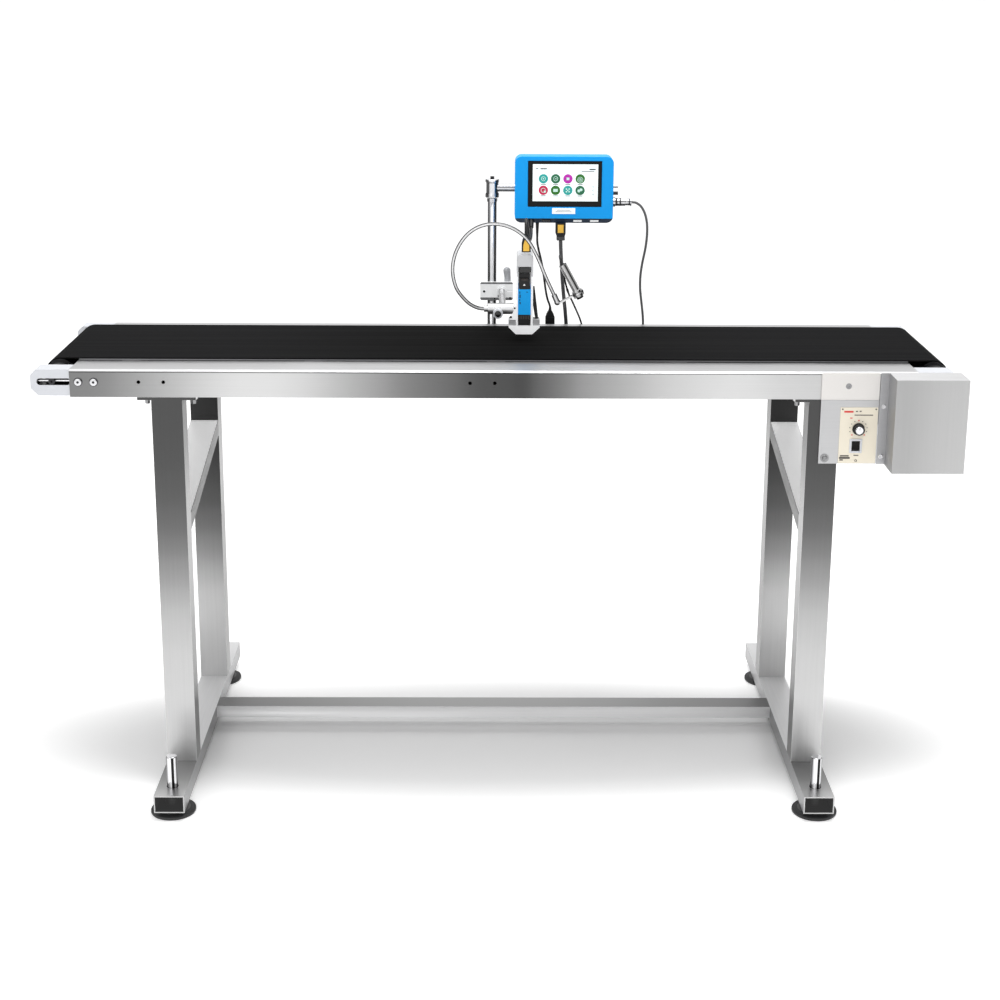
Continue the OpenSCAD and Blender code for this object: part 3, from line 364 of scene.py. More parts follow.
def glow(name, colour, strength):
    """A lit display surface."""
    n = Nodes(name)
    cells = n.noise((700, 700, 700), 1.0)
    n.link(n.blend(0.08, colour, n.spread(cells, 0.8, 1.1), "MULTIPLY"), n.p.inputs["Base Color"])
    n.set(Roughness=0.25)
    n.p.inputs["Emission Color"].default_value = colour
    n.p.inputs["Emission Strength"].default_value = strength
    return n.m


MAT = {
    # Painted reflection: painted sheen bands along the rail's front and a painted dark line under
    # its top edge; the top faces are a plainer, lighter copy of the steel with a painted highlight
    # along the front edge
    "rail": brushed("rail_steel", WHITE, (3, 260, 900), 0.33, [(-0.70, 0.192), (-0.61, 0.262),
        (-0.50, 0.464), (-0.39, 0.608), (-0.28, 0.472), (-0.17, 0.245), (-0.06, 0.113),
        (0.02, 0.0726), (0.06, 0.0953), (0.13, 0.245), (0.24, 0.444), (0.36, 0.608), (0.46, 0.562),
        (0.70, 0.454)], line=("Z", 0.7246, 0.7284, 0.36)),
    "rail_top": brushed("rail_top_steel", (0.60, 0.60, 0.605, 1), (3, 260, 900), 0.38,
        line=("Y", -0.1995, -0.193, 1.5)),
    # Painted reflection and shade: front uprights, rear uprights, their sides and their rounded
    # corners are copies of one steel, each with its own painted sheen up the height; the sides are
    # painted darker and the corners carry a painted highlight
    "upright": brushed("upright_steel", WHITE, (260, 260, 3), 0.35, [(0.04, 0.636), (0.10, 0.562),
        (0.18, 0.503), (0.25, 0.463), (0.32, 0.387), (0.36, 0.302), (0.41, 0.213), (0.45, 0.149),
        (0.50, 0.109), (0.56, 0.087), (0.62, 0.079), (0.70, 0.0765)], "Z"),
    "upright_far": brushed("rear_upright_steel", WHITE, (260, 260, 3), 0.35, [(0.04, 0.56),
        (0.10, 0.57), (0.18, 0.56), (0.23, 0.46), (0.28, 0.30), (0.33, 0.18), (0.38, 0.11),
        (0.43, 0.077), (0.50, 0.050), (0.60, 0.034), (0.70, 0.032)], "Z"),
    "upright_side": brushed("upright_side_steel", WHITE, (260, 260, 3), 0.36, [(0.04, 0.22),
        (0.20, 0.22), (0.35, 0.27), (0.47, 0.34), (0.55, 0.24), (0.62, 0.15), (0.70, 0.12)], "Z"),
    "tube_edge": brushed("tube_corner_steel", WHITE, (260, 260, 3), 0.30, [(0.0, 0.95),
        (0.30, 0.9), (0.45, 0.62), (0.58, 0.3), (0.672, 0.16), (0.677, 0.75), (0.70, 0.8)], "Z",
        metal=0.6),
    # Painted light and shade: the base's sides, ends, beam tops and stretcher faces are copies of
    # one steel, lighter or darker by the way they face, with painted sheen on the beams' fronts
    # and the stretcher's top; the tube insides are a near-black copy as painted shade
    "base_side": brushed("base_side_steel", (0.34, 0.34, 0.345, 1), (300, 8, 60), 0.36),
    "base_end": brushed("base_end_steel", (0.50, 0.50, 0.50, 1), (60, 60, 60), 0.36),
    "beam_front": brushed("beam_top_front_steel", WHITE, (300, 8, 60), 0.36, [(-0.335, 0.66),
        (-0.305, 0.50), (-0.27, 0.33), (-0.20, 0.20)], "Y"),
    "beam_rear": brushed("beam_top_rear_steel", (0.74, 0.74, 0.745, 1), (300, 8, 60), 0.38,
        metal=0.5),
    "bar_top": brushed("stretcher_top_steel", WHITE, (4, 260, 260), 0.36, [(-0.51, 0.20),
        (-0.25, 0.33), (0.0, 0.38), (0.25, 0.33), (0.51, 0.20)]),
    "bar_front": brushed("stretcher_front_steel", (0.66, 0.66, 0.665, 1), (4, 260, 260), 0.36,
        metal=0.55),
    "bore": brushed("tube_inside_steel", (0.05, 0.05, 0.05, 1), (60, 8, 60), 0.5),
    # Painted light and shade: the braces' tops are a light copy of the steel with painted sheen,
    # which also glows a little; their sides are a near-black copy
    "brace": brushed("brace_steel", WHITE, (300, 8, 60), 0.36, [(-0.17, 0.62), (-0.05, 0.74),
        (0.16, 0.92)], "Y", metal=0.1),
    "brace_side": brushed("brace_side_steel", (0.06, 0.06, 0.06, 1), (300, 8, 60), 0.36),
    # Painted reflection: painted sheen along the drive cover's front; its top faces are a lighter
    # copy of the steel, as painted light
    "cover": brushed("cover_steel", WHITE, (320, 60, 6), 0.36, [(0.60, 0.444), (0.65, 0.396),
        (0.69, 0.444), (0.75, 0.483)], streak=0.025),
    "cover_top": brushed("cover_top_steel", (0.78, 0.78, 0.785, 1), (6, 320, 60), 0.38),
    "box": brushed("box_steel", srgb(188, 188, 189), (4, 200, 420), 0.36, streak=0.03),
    "flange": brushed("flange_steel", srgb(176, 176, 178), (60, 60, 320), 0.36),
    "bed": brushed("bed_steel", srgb(128, 128, 130), (6, 200, 200), 0.36),
    "belt": belting("belt_rubber"),
    "white": plastic("white_nylon", srgb(206, 208, 213), 0.42, grain=500, bump=0.05, vary=0.02),
    "plate": plastic("plate_white", srgb(238, 240, 242), 0.36, bump=0.03, vary=0.01),
    "ivory": plastic("ivory_plate", srgb(222, 219, 216), 0.38, grain=700, vary=0.015),
    "cream": plastic("cream_panel", srgb(230, 222, 204), 0.36, grain=600, vary=0.02),
    "chrome": bright_metal("bright_chrome", srgb(236, 236, 238), 0.08),
    "zinc": bright_metal("zinc_screws", srgb(214, 214, 216), 0.20, bump=0.10),
    "dark_zinc": bright_metal("dark_fasteners", srgb(150, 150, 151), 0.28, bump=0.15),
    # Painted reflections: dark and bright strips, painted by which way each face points, on the
    # pole, the rods, the foot stems, the flexible arm, the front clamp and the sensor barrel
    "pole": bright_metal("pole_steel", srgb(240, 240, 242), 0.16, grain=(200, 200, 6), metal=0.7,
        shade=("X", [(-1, 0.22), (-0.85, 0.07), (-0.55, 0.09), (-0.38, 0.85), (0.30, 1.0),
        (0.42, 0.6), (0.52, 0.04), (0.82, 0.04), (0.94, 0.35), (1, 0.6)])),
    "arm_rod": bright_metal("arm_rod_steel", srgb(240, 240, 242), 0.16, grain=(6, 200, 200),
        metal=0.7, shade=("Z", [(-1, 0.3), (-0.75, 0.08), (-0.5, 0.10), (-0.3, 0.8), (0.05, 0.9),
        (0.2, 0.25), (0.35, 0.3), (0.5, 1.0), (0.8, 1.0), (1, 0.5)])),
    "stem": bright_metal("stem_steel", srgb(240, 240, 242), 0.12, shade=("X", [(-1, 0.25),
        (-0.85, 0.12), (-0.6, 0.8), (-0.1, 1.0), (0.0, 0.9), (0.08, 0.02), (0.48, 0.02),
        (0.56, 0.9), (0.75, 0.8), (0.9, 0.1), (1, 0.3)])),
    "neck": bright_metal("neck_steel", srgb(240, 240, 241), 0.2, metal=0.6,
        shade=("Y", [(-1, 0.85), (-0.93, 0.75), (-0.82, 0.3), (-0.7, 0.05), (0.5, 0.05),
        (0.8, 0.5), (1, 0.8)])),
    "clamp_tube": bright_metal("clamp_tube", srgb(240, 240, 241), 0.25, metal=0.35,
        shade=("Z", [(-1, 0.12), (-0.45, 0.12), (-0.2, 0.5), (0.1, 0.95), (0.6, 1.0), (0.85, 0.7),
        (1, 0.3)])),
    "barrel": bright_metal("barrel_steel", srgb(236, 236, 236), 0.15, metal=0.7,
        shade=("X", [(-1, 0.2), (-0.8, 0.5), (-0.5, 1.0), (-0.3, 0.7), (-0.1, 0.55), (0.2, 0.5),
        (0.35, 0.07), (0.55, 0.05), (0.65, 0.7), (0.85, 0.9), (1, 0.3)])),
    "alu": bright_metal("cast_clamp", srgb(236, 237, 238), 0.34, grain=(500, 500, 500), bump=0.12,
        metal=0.3),
    "alu_dark": bright_metal("cast_clamp_band", srgb(128, 129, 131), 0.36, grain=(900, 900, 900),
        bump=0.3, metal=0.5),
    # Also painted shade: the inner walls of the tail blocks' slots and the floors of the rail
    # screws' sockets take this dark steel
    "dark": bright_metal("blackened_steel_and_painted_shade", srgb(64, 64, 66), 0.36, bump=0.1),
    "black": plastic("black_plastic", srgb(20, 20, 22), 0.42, spec=0.35, vary=0.12),
    # Also painted shade: the hole in the cast clamp block takes this black
    "bezel_and_hole_shade": plastic("bezel_black_and_hole_shade", srgb(10, 10, 11), 0.34, spec=0.2, bump=0.02, vary=0.05),
    "gloss_black": plastic("gloss_black", srgb(12, 12, 13), 0.16, bump=0.02, vary=0.05, coat=0.3),
    "rubber": plastic("pad_rubber", srgb(44, 44, 45), 0.55, spec=0.45, grain=350, bump=0.25,
        vary=0.15),
    # Painted light: the feet pads' sloped tops are a lighter copy of the pad rubber
    "rubber_top": plastic("pad_rubber_top", srgb(84, 84, 85), 0.5, spec=0.5, grain=350, bump=0.2,
        vary=0.15),
    "blue": plastic("blue_housing", srgb(5, 164, 248), 0.40, spec=0.2, grain=1200, bump=0.05,
        vary=0.03),
    # Also painted shade: the controller housing's downward faces take this darker blue; the
    # cartridge's marks are print in it
    "navy": plastic("navy_print_and_underside_shade", srgb(26, 46, 70), 0.45, spec=0.25, grain=1200, bump=0.05,
        vary=0.04),
    "label": plastic("blue_label", srgb(10, 170, 250), 0.34, spec=0.2, bump=0.02, vary=0.03),
    "head_white": plastic("head_white", srgb(242, 243, 245), 0.34, grain=900, bump=0.05,
        vary=0.015),
    # Painted shade: the head's lid is a darker copy of the head's white
    "head_top": plastic("head_top_white", srgb(212, 213, 215), 0.34, grain=900, bump=0.05,
        vary=0.015),
    # Painted shade: the rounded edges of the cast clamp block and of the head's frame
    "outline": plastic("head_edge_painted_shade", srgb(112, 113, 116), 0.4, bump=0.03),
    "knurl": knurled("knurled_grey", srgb(186, 186, 188)),
    "frosted": plastic("frosted_grey", srgb(176, 178, 182), 0.30, vary=0.10, coat=0.2),
    "gold": bright_metal("brass_insert", srgb(232, 186, 84), 0.30),
    "motor": plastic("motor_paint", srgb(92, 94, 97), 0.45, grain=400, bump=0.2, vary=0.08),
    "board": plastic("board_green", srgb(32, 88, 50), 0.4),
    "cable": plastic("cable_black", srgb(24, 24, 25), 0.45, grain=1500, bump=0.12, vary=0.10),
    "cable_dark": plastic("cable_dark_grey", srgb(82, 82, 84), 0.42, grain=1500, bump=0.12,
        vary=0.08),
    "cable_grey": plastic("cable_grey", srgb(98, 98, 100), 0.42, grain=1500, bump=0.12, vary=0.08),
    "display": glow("display_white", srgb(240, 249, 250), 0.35),
}

# Painted light: these materials glow a little, though they are no lamps, where the studio's
# whites need it, and to lift the shade in the tube bores and on the braces
for key, strength in (("bore", 0.03), ("head_white", 0.22), ("plate", 0.3), ("brace", 0.42),
                      ("alu", 0.24)):
    lit = MAT[key].node_tree.nodes["Principled BSDF"].inputs
    lit["Emission Color"].default_value = WHITE
    lit["Emission Strength"].default_value = strength


# ---------------- mesh helpers

def settle(ob, body, slot, *nodes):
    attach(ob, body)
    if nodes:
        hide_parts(*nodes)
    return ob


def mesh_object(name, bm, mats, angle=35.0):
    me = bpy.data.meshes.new(name)
    bmesh.ops.recalc_face_normals(bm, faces=bm.faces[:])
    bm.to_mesh(me)
    bm.free()
    for m in mats:
        me.materials.append(m)
    for p in me.polygons:
        p.use_smooth = True
    me.set_sharp_from_angle(angle=math.radians(angle))
    ob = bpy.data.objects.new(name, me)
    bpy.context.scene.collection.objects.link(ob)
    return ob


def applied(ob):
    """Makes the result of the object's modifiers its mesh."""
    dg = bpy.context.evaluated_depsgraph_get()
    dg.update()
    me = bpy.data.meshes.new_from_object(ob.evaluated_get(dg))
    ob.modifiers.clear()
    old = ob.data
    ob.data = me
    bpy.data.meshes.remove(old)
    return me


def bevelled(ob, width, segments=2, edge=-1):
    """Rounds the object's sharp edges, with flat faces kept flat; edge is the material index of
    the rounded strips."""
    mod = ob.modifiers.new("round", "BEVEL")
    mod.width, mod.segments = width, segments
    mod.limit_method, mod.angle_limit = "ANGLE", math.radians(ROUND_FROM)
    mod.use_clamp_overlap = True
    mod.material = edge
    me = applied(ob)
    for p in me.polygons:
        p.use_smooth = True
    me.set_sharp_from_angle(angle=math.radians(SHARP_FROM))
    mod = ob.modifiers.new("flat", "WEIGHTED_NORMAL")
    mod.keep_sharp = True
    mod.weight = 80
    applied(ob)
    return ob


def from_cad(name, node, mats, pick=None, cuts=(), width=0.0006, segments=2, edge=-1):
    """A piece with the exact shape of a CAD node and softened edges. cuts are (axis, place) pairs
    in mm that split faces; pick(centre, normal) gives a face's material index."""
    bm = bmesh.new()
    bm.from_mesh(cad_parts[node].data)
    bmesh.ops.remove_doubles(bm, verts=bm.verts[:], dist=2e-6)
    bmesh.ops.dissolve_limit(bm, angle_limit=math.radians(0.6), verts=bm.verts[:],
                             edges=bm.edges[:])
    for axis, place in cuts:
        spot, way = Vector((0, 0, 0)), Vector((0, 0, 0))
        spot[axis], way[axis] = place * MM, 1
        bmesh.ops.bisect_plane(bm, geom=bm.verts[:] + bm.edges[:] + bm.faces[:], dist=1e-6,
                               plane_co=spot, plane_no=way)
    if pick:
        bm.normal_update()
        for f in bm.faces:
            f.material_index = pick(f.calc_center_bounds() / MM, f.normal)
    ob = mesh_object(name, bm, mats)
    if width:
        bevelled(ob, width, segments, edge=edge)
    return ob


def lathe(name, profile, centre, axis, mats, segs=48, pick=None):
    """Turns a profile of (radius, along) pairs, in mm, about an axis through centre."""
    bm = bmesh.new()
    rings = []
    for r, h in profile:
        if r <= 0:
            rings.append([bm.verts.new((0, 0, h * MM))])
        else:
            rings.append([bm.verts.new((r * MM * math.cos(2 * math.pi * k / segs),
                                        r * MM * math.sin(2 * math.pi * k / segs), h * MM))
                          for k in range(segs)])
    for i, (a, b) in enumerate(zip(rings, rings[1:])):
        for k in range(segs):
            n = (k + 1) % segs
            if len(a) == 1 and len(b) == 1:
                continue
            if len(a) == 1:
                f = bm.faces.new((a[0], b[k], b[n]))
            elif len(b) == 1:
                f = bm.faces.new((a[k], a[n], b[0]))
            else:
                f = bm.faces.new((a[k], a[n], b[n], b[k]))
            if pick:
                f.material_index = pick(i)
    turn = Vector((0, 0, 1)).rotation_difference(Vector(axis)).to_matrix().to_4x4()
    bm.transform(Matrix.Translation(Vector(centre) * MM) @ turn)
    return mesh_object(name, bm, mats)


def bridge(bm, a, b, index=0):
    """Faces between two rings that have as many points as each other."""
    for k in range(len(a)):
        n = (k + 1) % len(a)
        bm.faces.new((a[k], a[n], b[n], b[k])).material_index = index


def closed_tube(bm, rings):
    """Joins a row of rings, and closes both ends."""
    for a, b in zip(rings, rings[1:]):
        bridge(bm, a, b)
    bm.faces.new(rings[0])
    bm.faces.new(rings[-1])


def add_box(bm, lo, hi, index=0):
    """A box in mm added to bm, with a material index."""
    v = [bm.verts.new((x * MM, y * MM, z * MM)) for x in (lo[0], hi[0]) for y in (lo[1], hi[1])
         for z in (lo[2], hi[2])]
    for a, b, c, d in ((0, 1, 3, 2), (4, 6, 7, 5), (0, 4, 5, 1), (2, 3, 7, 6), (0, 2, 6, 4),
                       (1, 5, 7, 3)):
        bm.faces.new((v[a], v[b], v[c], v[d])).material_index = index


def add_disc(bm, x, z, y0, y1, r, index=0, segs=32, r_in=0.0):
    """A round plate or ring facing -Y, from y0 to y1 in mm."""
    def ring(rad, y):
        return [bm.verts.new(((x + rad * math.cos(2 * math.pi * k / segs)) * MM, y * MM,
                              (z + rad * math.sin(2 * math.pi * k / segs)) * MM))
                for k in range(segs)]
    a, b = ring(r, y0), ring(r, y1)
    if r_in:
        c, d = ring(r_in, y0), ring(r_in, y1)
        for pair in ((a, b), (c, a), (b, d), (d, c)):
            bridge(bm, *pair, index)
    else:
        bridge(bm, a, b, index)
        for end in (a, b):
            bm.faces.new(end).material_index = index


def smooth_path(pts, steps):
    """Points on a Catmull-Rom curve through pts, in mm."""
    p = [Vector(q) for q in pts]

    def at(i):
        return p[max(0, min(len(p) - 1, i))]
    out = []
    for i in range(len(p) - 1):
        for k in range(steps):
            t = k / steps
            out.append(0.5 * (2 * at(i) + (at(i + 1) - at(i - 1)) * t
                              + (2 * at(i - 1) - 5 * at(i) + 4 * at(i + 1) - at(i + 2)) * t ** 2
                              + (3 * at(i) - at(i - 1) - 3 * at(i + 1) + at(i + 2)) * t ** 3))
    out.append(p[-1])
    return out


def path_length(pts):
    return sum((b - a).length for a, b in zip(pts, pts[1:]))


def sweep(name, pts, radius, mats, sides=14):
    """A mesh tube along pts, in mm; radius is a number or a function of the ring's index."""
    bm = bmesh.new()
    n = len(pts)
    side = Vector((1, 0.3, 0.2))
    rings = []
    for i in range(n):
        way = (pts[min(n - 1, i + 1)] - pts[max(0, i - 1)]).normalized()
        side = (side - side.dot(way) * way).normalized()
        up = way.cross(side)
        r = radius(i) if callable(radius) else radius
        rings.append([bm.verts.new((pts[i] + r * (math.cos(2 * math.pi * k / sides) * side
                                                  + math.sin(2 * math.pi * k / sides) * up)) * MM)
                      for k in range(sides)])
    closed_tube(bm, rings)
    return mesh_object(name, bm, mats, SHARP_FROM)


def curve_cord(name, pts, radius, mat):
    """A round cable as one open spline."""
    path = smooth_path(pts, CORD_STEPS)
    cu = bpy.data.curves.new(name, "CURVE")
    cu.dimensions = "3D"
    cu.bevel_depth = radius * MM
    cu.bevel_resolution = 5
    cu.use_fill_caps = True
    sp = cu.splines.new("POLY")
    sp.points.add(len(path) - 1)
    for q, v in zip(sp.points, path):
        q.co = (*(v * MM), 1)
    cu.materials.append(mat)
    ob = bpy.data.objects.new(name, cu)
    bpy.context.scene.collection.objects.link(ob)
    return ob, path_length(path) * MM


# ---------------- cables

DATA = [[116.4, 156, 886], [116.9, 156.5, 872], [118.2, 158, 850], [120, 162.5, 825],
        [122.2, 169, 800], [125, 180, 775], [127.8, 191, 752], [130, 200, 731],
        [131, 204.5, 716], [131, 205, 700]]
POWER = [[241, 155, 954.7], [250, 155, 953.3], [259, 156, 946.5], [266, 158, 934],
         [270.5, 161, 916], [271.5, 165, 893], [269.5, 170, 868], [265.5, 175, 843],
         [263, 180, 818], [263.5, 186, 794], [266.5, 192, 771], [270, 199, 748],
         [272, 203.5, 728], [272, 205, 712], [272, 205, 700]]
LINK = [[74.5, 156, 889], [75, 156.1, 880], [77.6, 157, 867], [81.6, 159, 851],
        [85.6, 163.5, 831], [89, 172, 808], [92.4, 183, 786], [96, 194, 770],
        [99.4, 202.5, 760.5], [101, 205, 754.5]]
HEAD = [[63, 136.5, 911], [62.8, 128, 903], [62, 117, 897], [60.8, 104, 895], [59.2, 90, 899],
        [57.4, 77, 907], [55.5, 65, 918], [53.8, 54, 930], [52.6, 43, 938], [51.8, 32, 940],
        [51.5, 24, 935], [51.5, 20, 927], [51.5, 20, 918.2]]
SENSOR = [[112.5, 12, 869.4], [110.4, 12.5, 873.6], [109.3, 16, 878], [109.5, 22, 880.3],
          [110.5, 29, 878], [112.5, 35.5, 870], [115, 42, 857], [118, 50, 842], [122, 62, 825],
          [126.5, 78, 809], [131.5, 98, 795], [137, 120, 782], [143, 143, 767],
          [149.5, 165, 751], [155.5, 185, 735], [159.5, 199, 721], [160, 204.5, 711],
          [160, 205, 700]]


def fixed_cable(name, pts, radius, mat, slot):
    ob, length = curve_cord(name, pts, radius, mat)
    settle(ob, "conveyor", slot, name)


def moving_cable(name, pts, radius, cut, sleeve_r, end_pieces):
    """A cable over both of the head's slides: two tubes that meet in a sleeve, which rides on the
    arm between them. cut is the knot that the sleeve sits on, sleeve_r its radius in mm."""
    path = smooth_path(pts, CORD_STEPS)
    mid = cut * CORD_STEPS
    half = 7.0           # mm: half of the sleeve's length
    lo = max(i for i in range(mid) if (path[i] - path[mid]).length > half)
    hi = min(i for i in range(mid, len(path)) if (path[i] - path[mid]).length > half)
    part_a, part_b = path[:mid], path[mid + 1:]
    sleeve = sweep(name + "_sleeve", path[lo:hi + 1], lambda i: sleeve_r
                   if 0 < i < hi - lo else radius * 1.02, [MAT["black"]], 16)
    settle(sleeve, "head_arm", "black_cable", name)
    a = sweep(name + "_a", part_a, radius, [MAT["cable"]])
    b = sweep(name + "_b", part_b, radius, [MAT["cable"]])
    for ob, part, bodies in ((a, part_a, ("conveyor", "head_arm")),
                             (b, part_b, ("head_arm", "head"))):
        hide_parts(name)
        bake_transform(ob)


def head_plug():
    """The flat plug on the print head: black shell, brass key plate, tapered relief."""
    ob = from_cad("head_plug_shell", "head_plug", [MAT["black"], MAT["gold"]],
                  pick=lambda c, n: 1 if c.y < 14.95 else 0, width=0.0007)
    settle(ob, "head", "black_plastic", "head_plug")
    rib = [(4.6, 0), (4.9, 0.6), (4.9, 1.8), (4.2, 2.2), (4.2, 2.8), (4.6, 3.2), (4.6, 4.4),
           (3.9, 4.8), (3.9, 5.4), (4.2, 5.8), (4.2, 6.8), (3.5, 7.2)]
    ribs = lathe("head_plug_ribs", rib, (51.5, 20, 910.4), UP, [MAT["black"]], 32)
    settle(ribs, "head", "black_plastic")
    return [ob, ribs]


def cables():
    fixed_cable("data_cable", DATA, 3.4, MAT["cable_dark"], "black_cable")
    fixed_cable("power_cable", POWER, 2.2, MAT["cable_grey"], "grey_cable")
    plug = from_cad("inline_plug_shell", "inline_plug", [MAT["black"]], width=0.0014, segments=3)
    settle(plug, "conveyor", "black_plastic", "inline_plug")
    fixed_cable("link_cable", LINK, 2.0, MAT["cable"], "black_cable")
    moving_cable("head_cable", HEAD, 2.9, 4, 3.8, head_plug())
    moving_cable("sensor_cable", SENSOR[::-1], 1.7, 8, 2.2, [])


# ---------------- conveyor

def rail_face(c, n):
    """0 front, with painted sheen bands; 1 top, a lighter copy with a painted highlight at its
    front edge
    """
    return 1 if n.z > 0.5 else 0


def upright_face(c, n):
    """0 front uprights, 1 rear uprights, 2 sides, 4 welded top plates; copies of one steel, each
    lighter or darker as painted light and shade
    """
    if c.z > PLATE_UNDERSIDE:
        return 4
    if abs(n.x) > 0.7:
        return 2
    return 1 if c.y > 0 else 0


def base_face(c, n):
    """0 sides, 1 ends, 2 front of a beam's top, 3 rest of its top, 4 and 5 the stretcher's top
    and front, 6 inside of the tubes: copies of one steel, lighter or darker by the way they face
    as painted light and shade, the inside of the tubes painted near black as shade"""
    x = abs(abs(c.x) - BEAM_X)
    if x < 24 and 15.5 < c.z < 44.5 and abs(c.y) < 328:
        return 6
    if abs(c.x) < STRETCHER_END:
        return 4 if n.z > 0.5 else 5
    if abs(n.y) > 0.5:
        return 1
    if n.z > 0.5:
        return 2 if c.y < -170 else 3
    return 0


def sockets(node):
    """Picks 1 for the floors of the sockets in the front screws' heads, else 0, for painted shade
    there. They lie 0.7 to 2.3 mm behind the front of the heads."""
    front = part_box(node)[0][1] / MM + 0.7
    return lambda c, n: int(front < c.y < front + 1.6 and abs(n.y) > 0.5)


def skin(node, mats, slot, body="conveyor", **shape):
    return settle(from_cad(node + "_skin", node, [MAT[m] for m in mats], **shape), body, slot,
                  node)


def conveyor():
    for node, mat in (("slider_bed", "bed"), ("conveyor_belt", "belt"),
                      ("head_bearings", "dark_zinc"), ("timing_belt", "rubber"),
                      ("tail_shaft", "dark"), ("tail_roller", "dark"),
                      ("front_tension_screw", "zinc"), ("rear_tension_screw", "zinc"),
                      ("motor_pulley", "alu"), ("gear_motor", "motor"),
                      ("bracket_knob", "black"), ("speed_board", "board"),
                      ("drive_roller", "dark")):
        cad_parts[node].data.materials.clear()
        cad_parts[node].data.materials.append(MAT[mat])
    for node in ("front_rail", "rear_rail"):
        skin(node, ("rail", "rail_top"), "steel_tube", pick=rail_face, width=0.0009)
    skin("uprights", ("upright", "upright_far", "upright_side", "tube_edge", "base_end"),
         "steel_tube", pick=upright_face, width=0.0028, segments=3, edge=3)
    # painted light and shade: a light, glowing top and near-black sides
    skin("braces", ("brace_side", "brace", "base_side"), "steel_tube",
         pick=lambda c, n: 1 if n.z > 0.5 else 0, width=0.0016, edge=2)
    skin("base_frame", ("base_side", "base_end", "beam_front", "beam_rear", "bar_top",
                        "bar_front", "bore"), "steel_tube", pick=base_face,
         cuts=((0, -506.9), (0, 506.9), (1, -200), (1, -160)), width=0.0016)
    # painted shade: the slot's inner walls take the dark steel
    skin("tail_blocks", ("white", "dark"), "white_block", width=0.0012,
         pick=lambda c, n: 1 if abs(c.z - 709) < 9 and abs(n.y) < 0.5 and -747 < c.x < -690
         else 0)
    skin("head_blocks", ("white",), "white_block", width=0.0012)
    skin("rail_screws", ("zinc", "dark"), "bright_screw", width=0.0004,
         pick=sockets("rail_screws"))
    skin("cover_screws", ("dark_zinc", "chrome"), "bright_screw", width=0.0003,
         pick=lambda c, n: 1 if c.x > 600 else 0)
    skin("plate_bolts", ("dark_zinc",), "bright_screw", width=0.0004)
    skin("drive_plate", ("cover",), "steel_tube", width=0.0005)
    # painted light: the top faces take a lighter copy of the cover's steel
    skin("drive_cover", ("cover", "cover_top", "flange"), "steel_tube", width=0.0012,
         pick=lambda c, n: 1 if n.z > 0.5 else (2 if c.x < 634 and c.y > -215 else 0),
         cuts=((0, 634.5),))
    skin("control_box", ("box",), "steel_tube", width=0.0006)
    skin("cover_plate", ("ivory",), "white_block", width=0.0006)
    skin("pole_bracket", ("alu",), "alu", width=0.0008)
    skin("stand_rods", ("pole", "arm_rod"), "bright_screw", width=0.0006, cuts=((2, 965.9),),
         pick=lambda c, n: 1 if c.z > 966 else 0)


def foot(node):
    """A levelling foot: moulded rubber pad with a rim, its sloped top a lighter copy of the
    rubber as painted light, hexagon under the beam, bright stem with painted reflections.
    """
    lo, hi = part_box(node)
    x, y = (lo[0] + hi[0]) / 2 / MM, (lo[1] + hi[1]) / 2 / MM
    pad = [(0, 0), (35.2, 0), (36.3, 0.5), (37, 1.6), (37, 4.2), (36.6, 5.2), (35.4, 5.9),
           (34.2, 5.7), (33.4, 6.1), (32.4, 6.6), (28, 7.4), (22, 8.5), (18.5, 9.5),
           (16.4, 10.2), (15, 10.9), (0, 11)]
    settle(lathe(node + "_pad", pad, (x, y, 0), UP,
                 [MAT["rubber"], MAT["rubber_top"]], 72, pick=lambda i: 1 if i > 9 else 0), node,
           "pad_rubber", node)
    bm = bmesh.new()
    rings = [[bm.verts.new(((x + r * math.cos(math.radians(60 * k))) * MM,
                            (y + r * math.sin(math.radians(60 * k))) * MM, z * MM))
              for k in range(6)] for r, z in ((11.4, 11), (12, 11.5), (12, 14.4), (11.4, 15))]
    closed_tube(bm, rings)
    settle(mesh_object(node + "_hexagon", bm, [MAT["dark"]], 20), node, "pad_rubber", node)
    profile = [(9, 15), (9, 97.2), (8.7, 98.2), (8.1, 98.8), (7.2, 99), (0, 99)]
    settle(lathe(node + "_stem", profile, (x, y, 0), UP, [MAT["stem"], MAT["chrome"]], 48,
                 pick=lambda i: 1 if i > 1 else 0), node, "pad_rubber", node)


# ---------------- controls

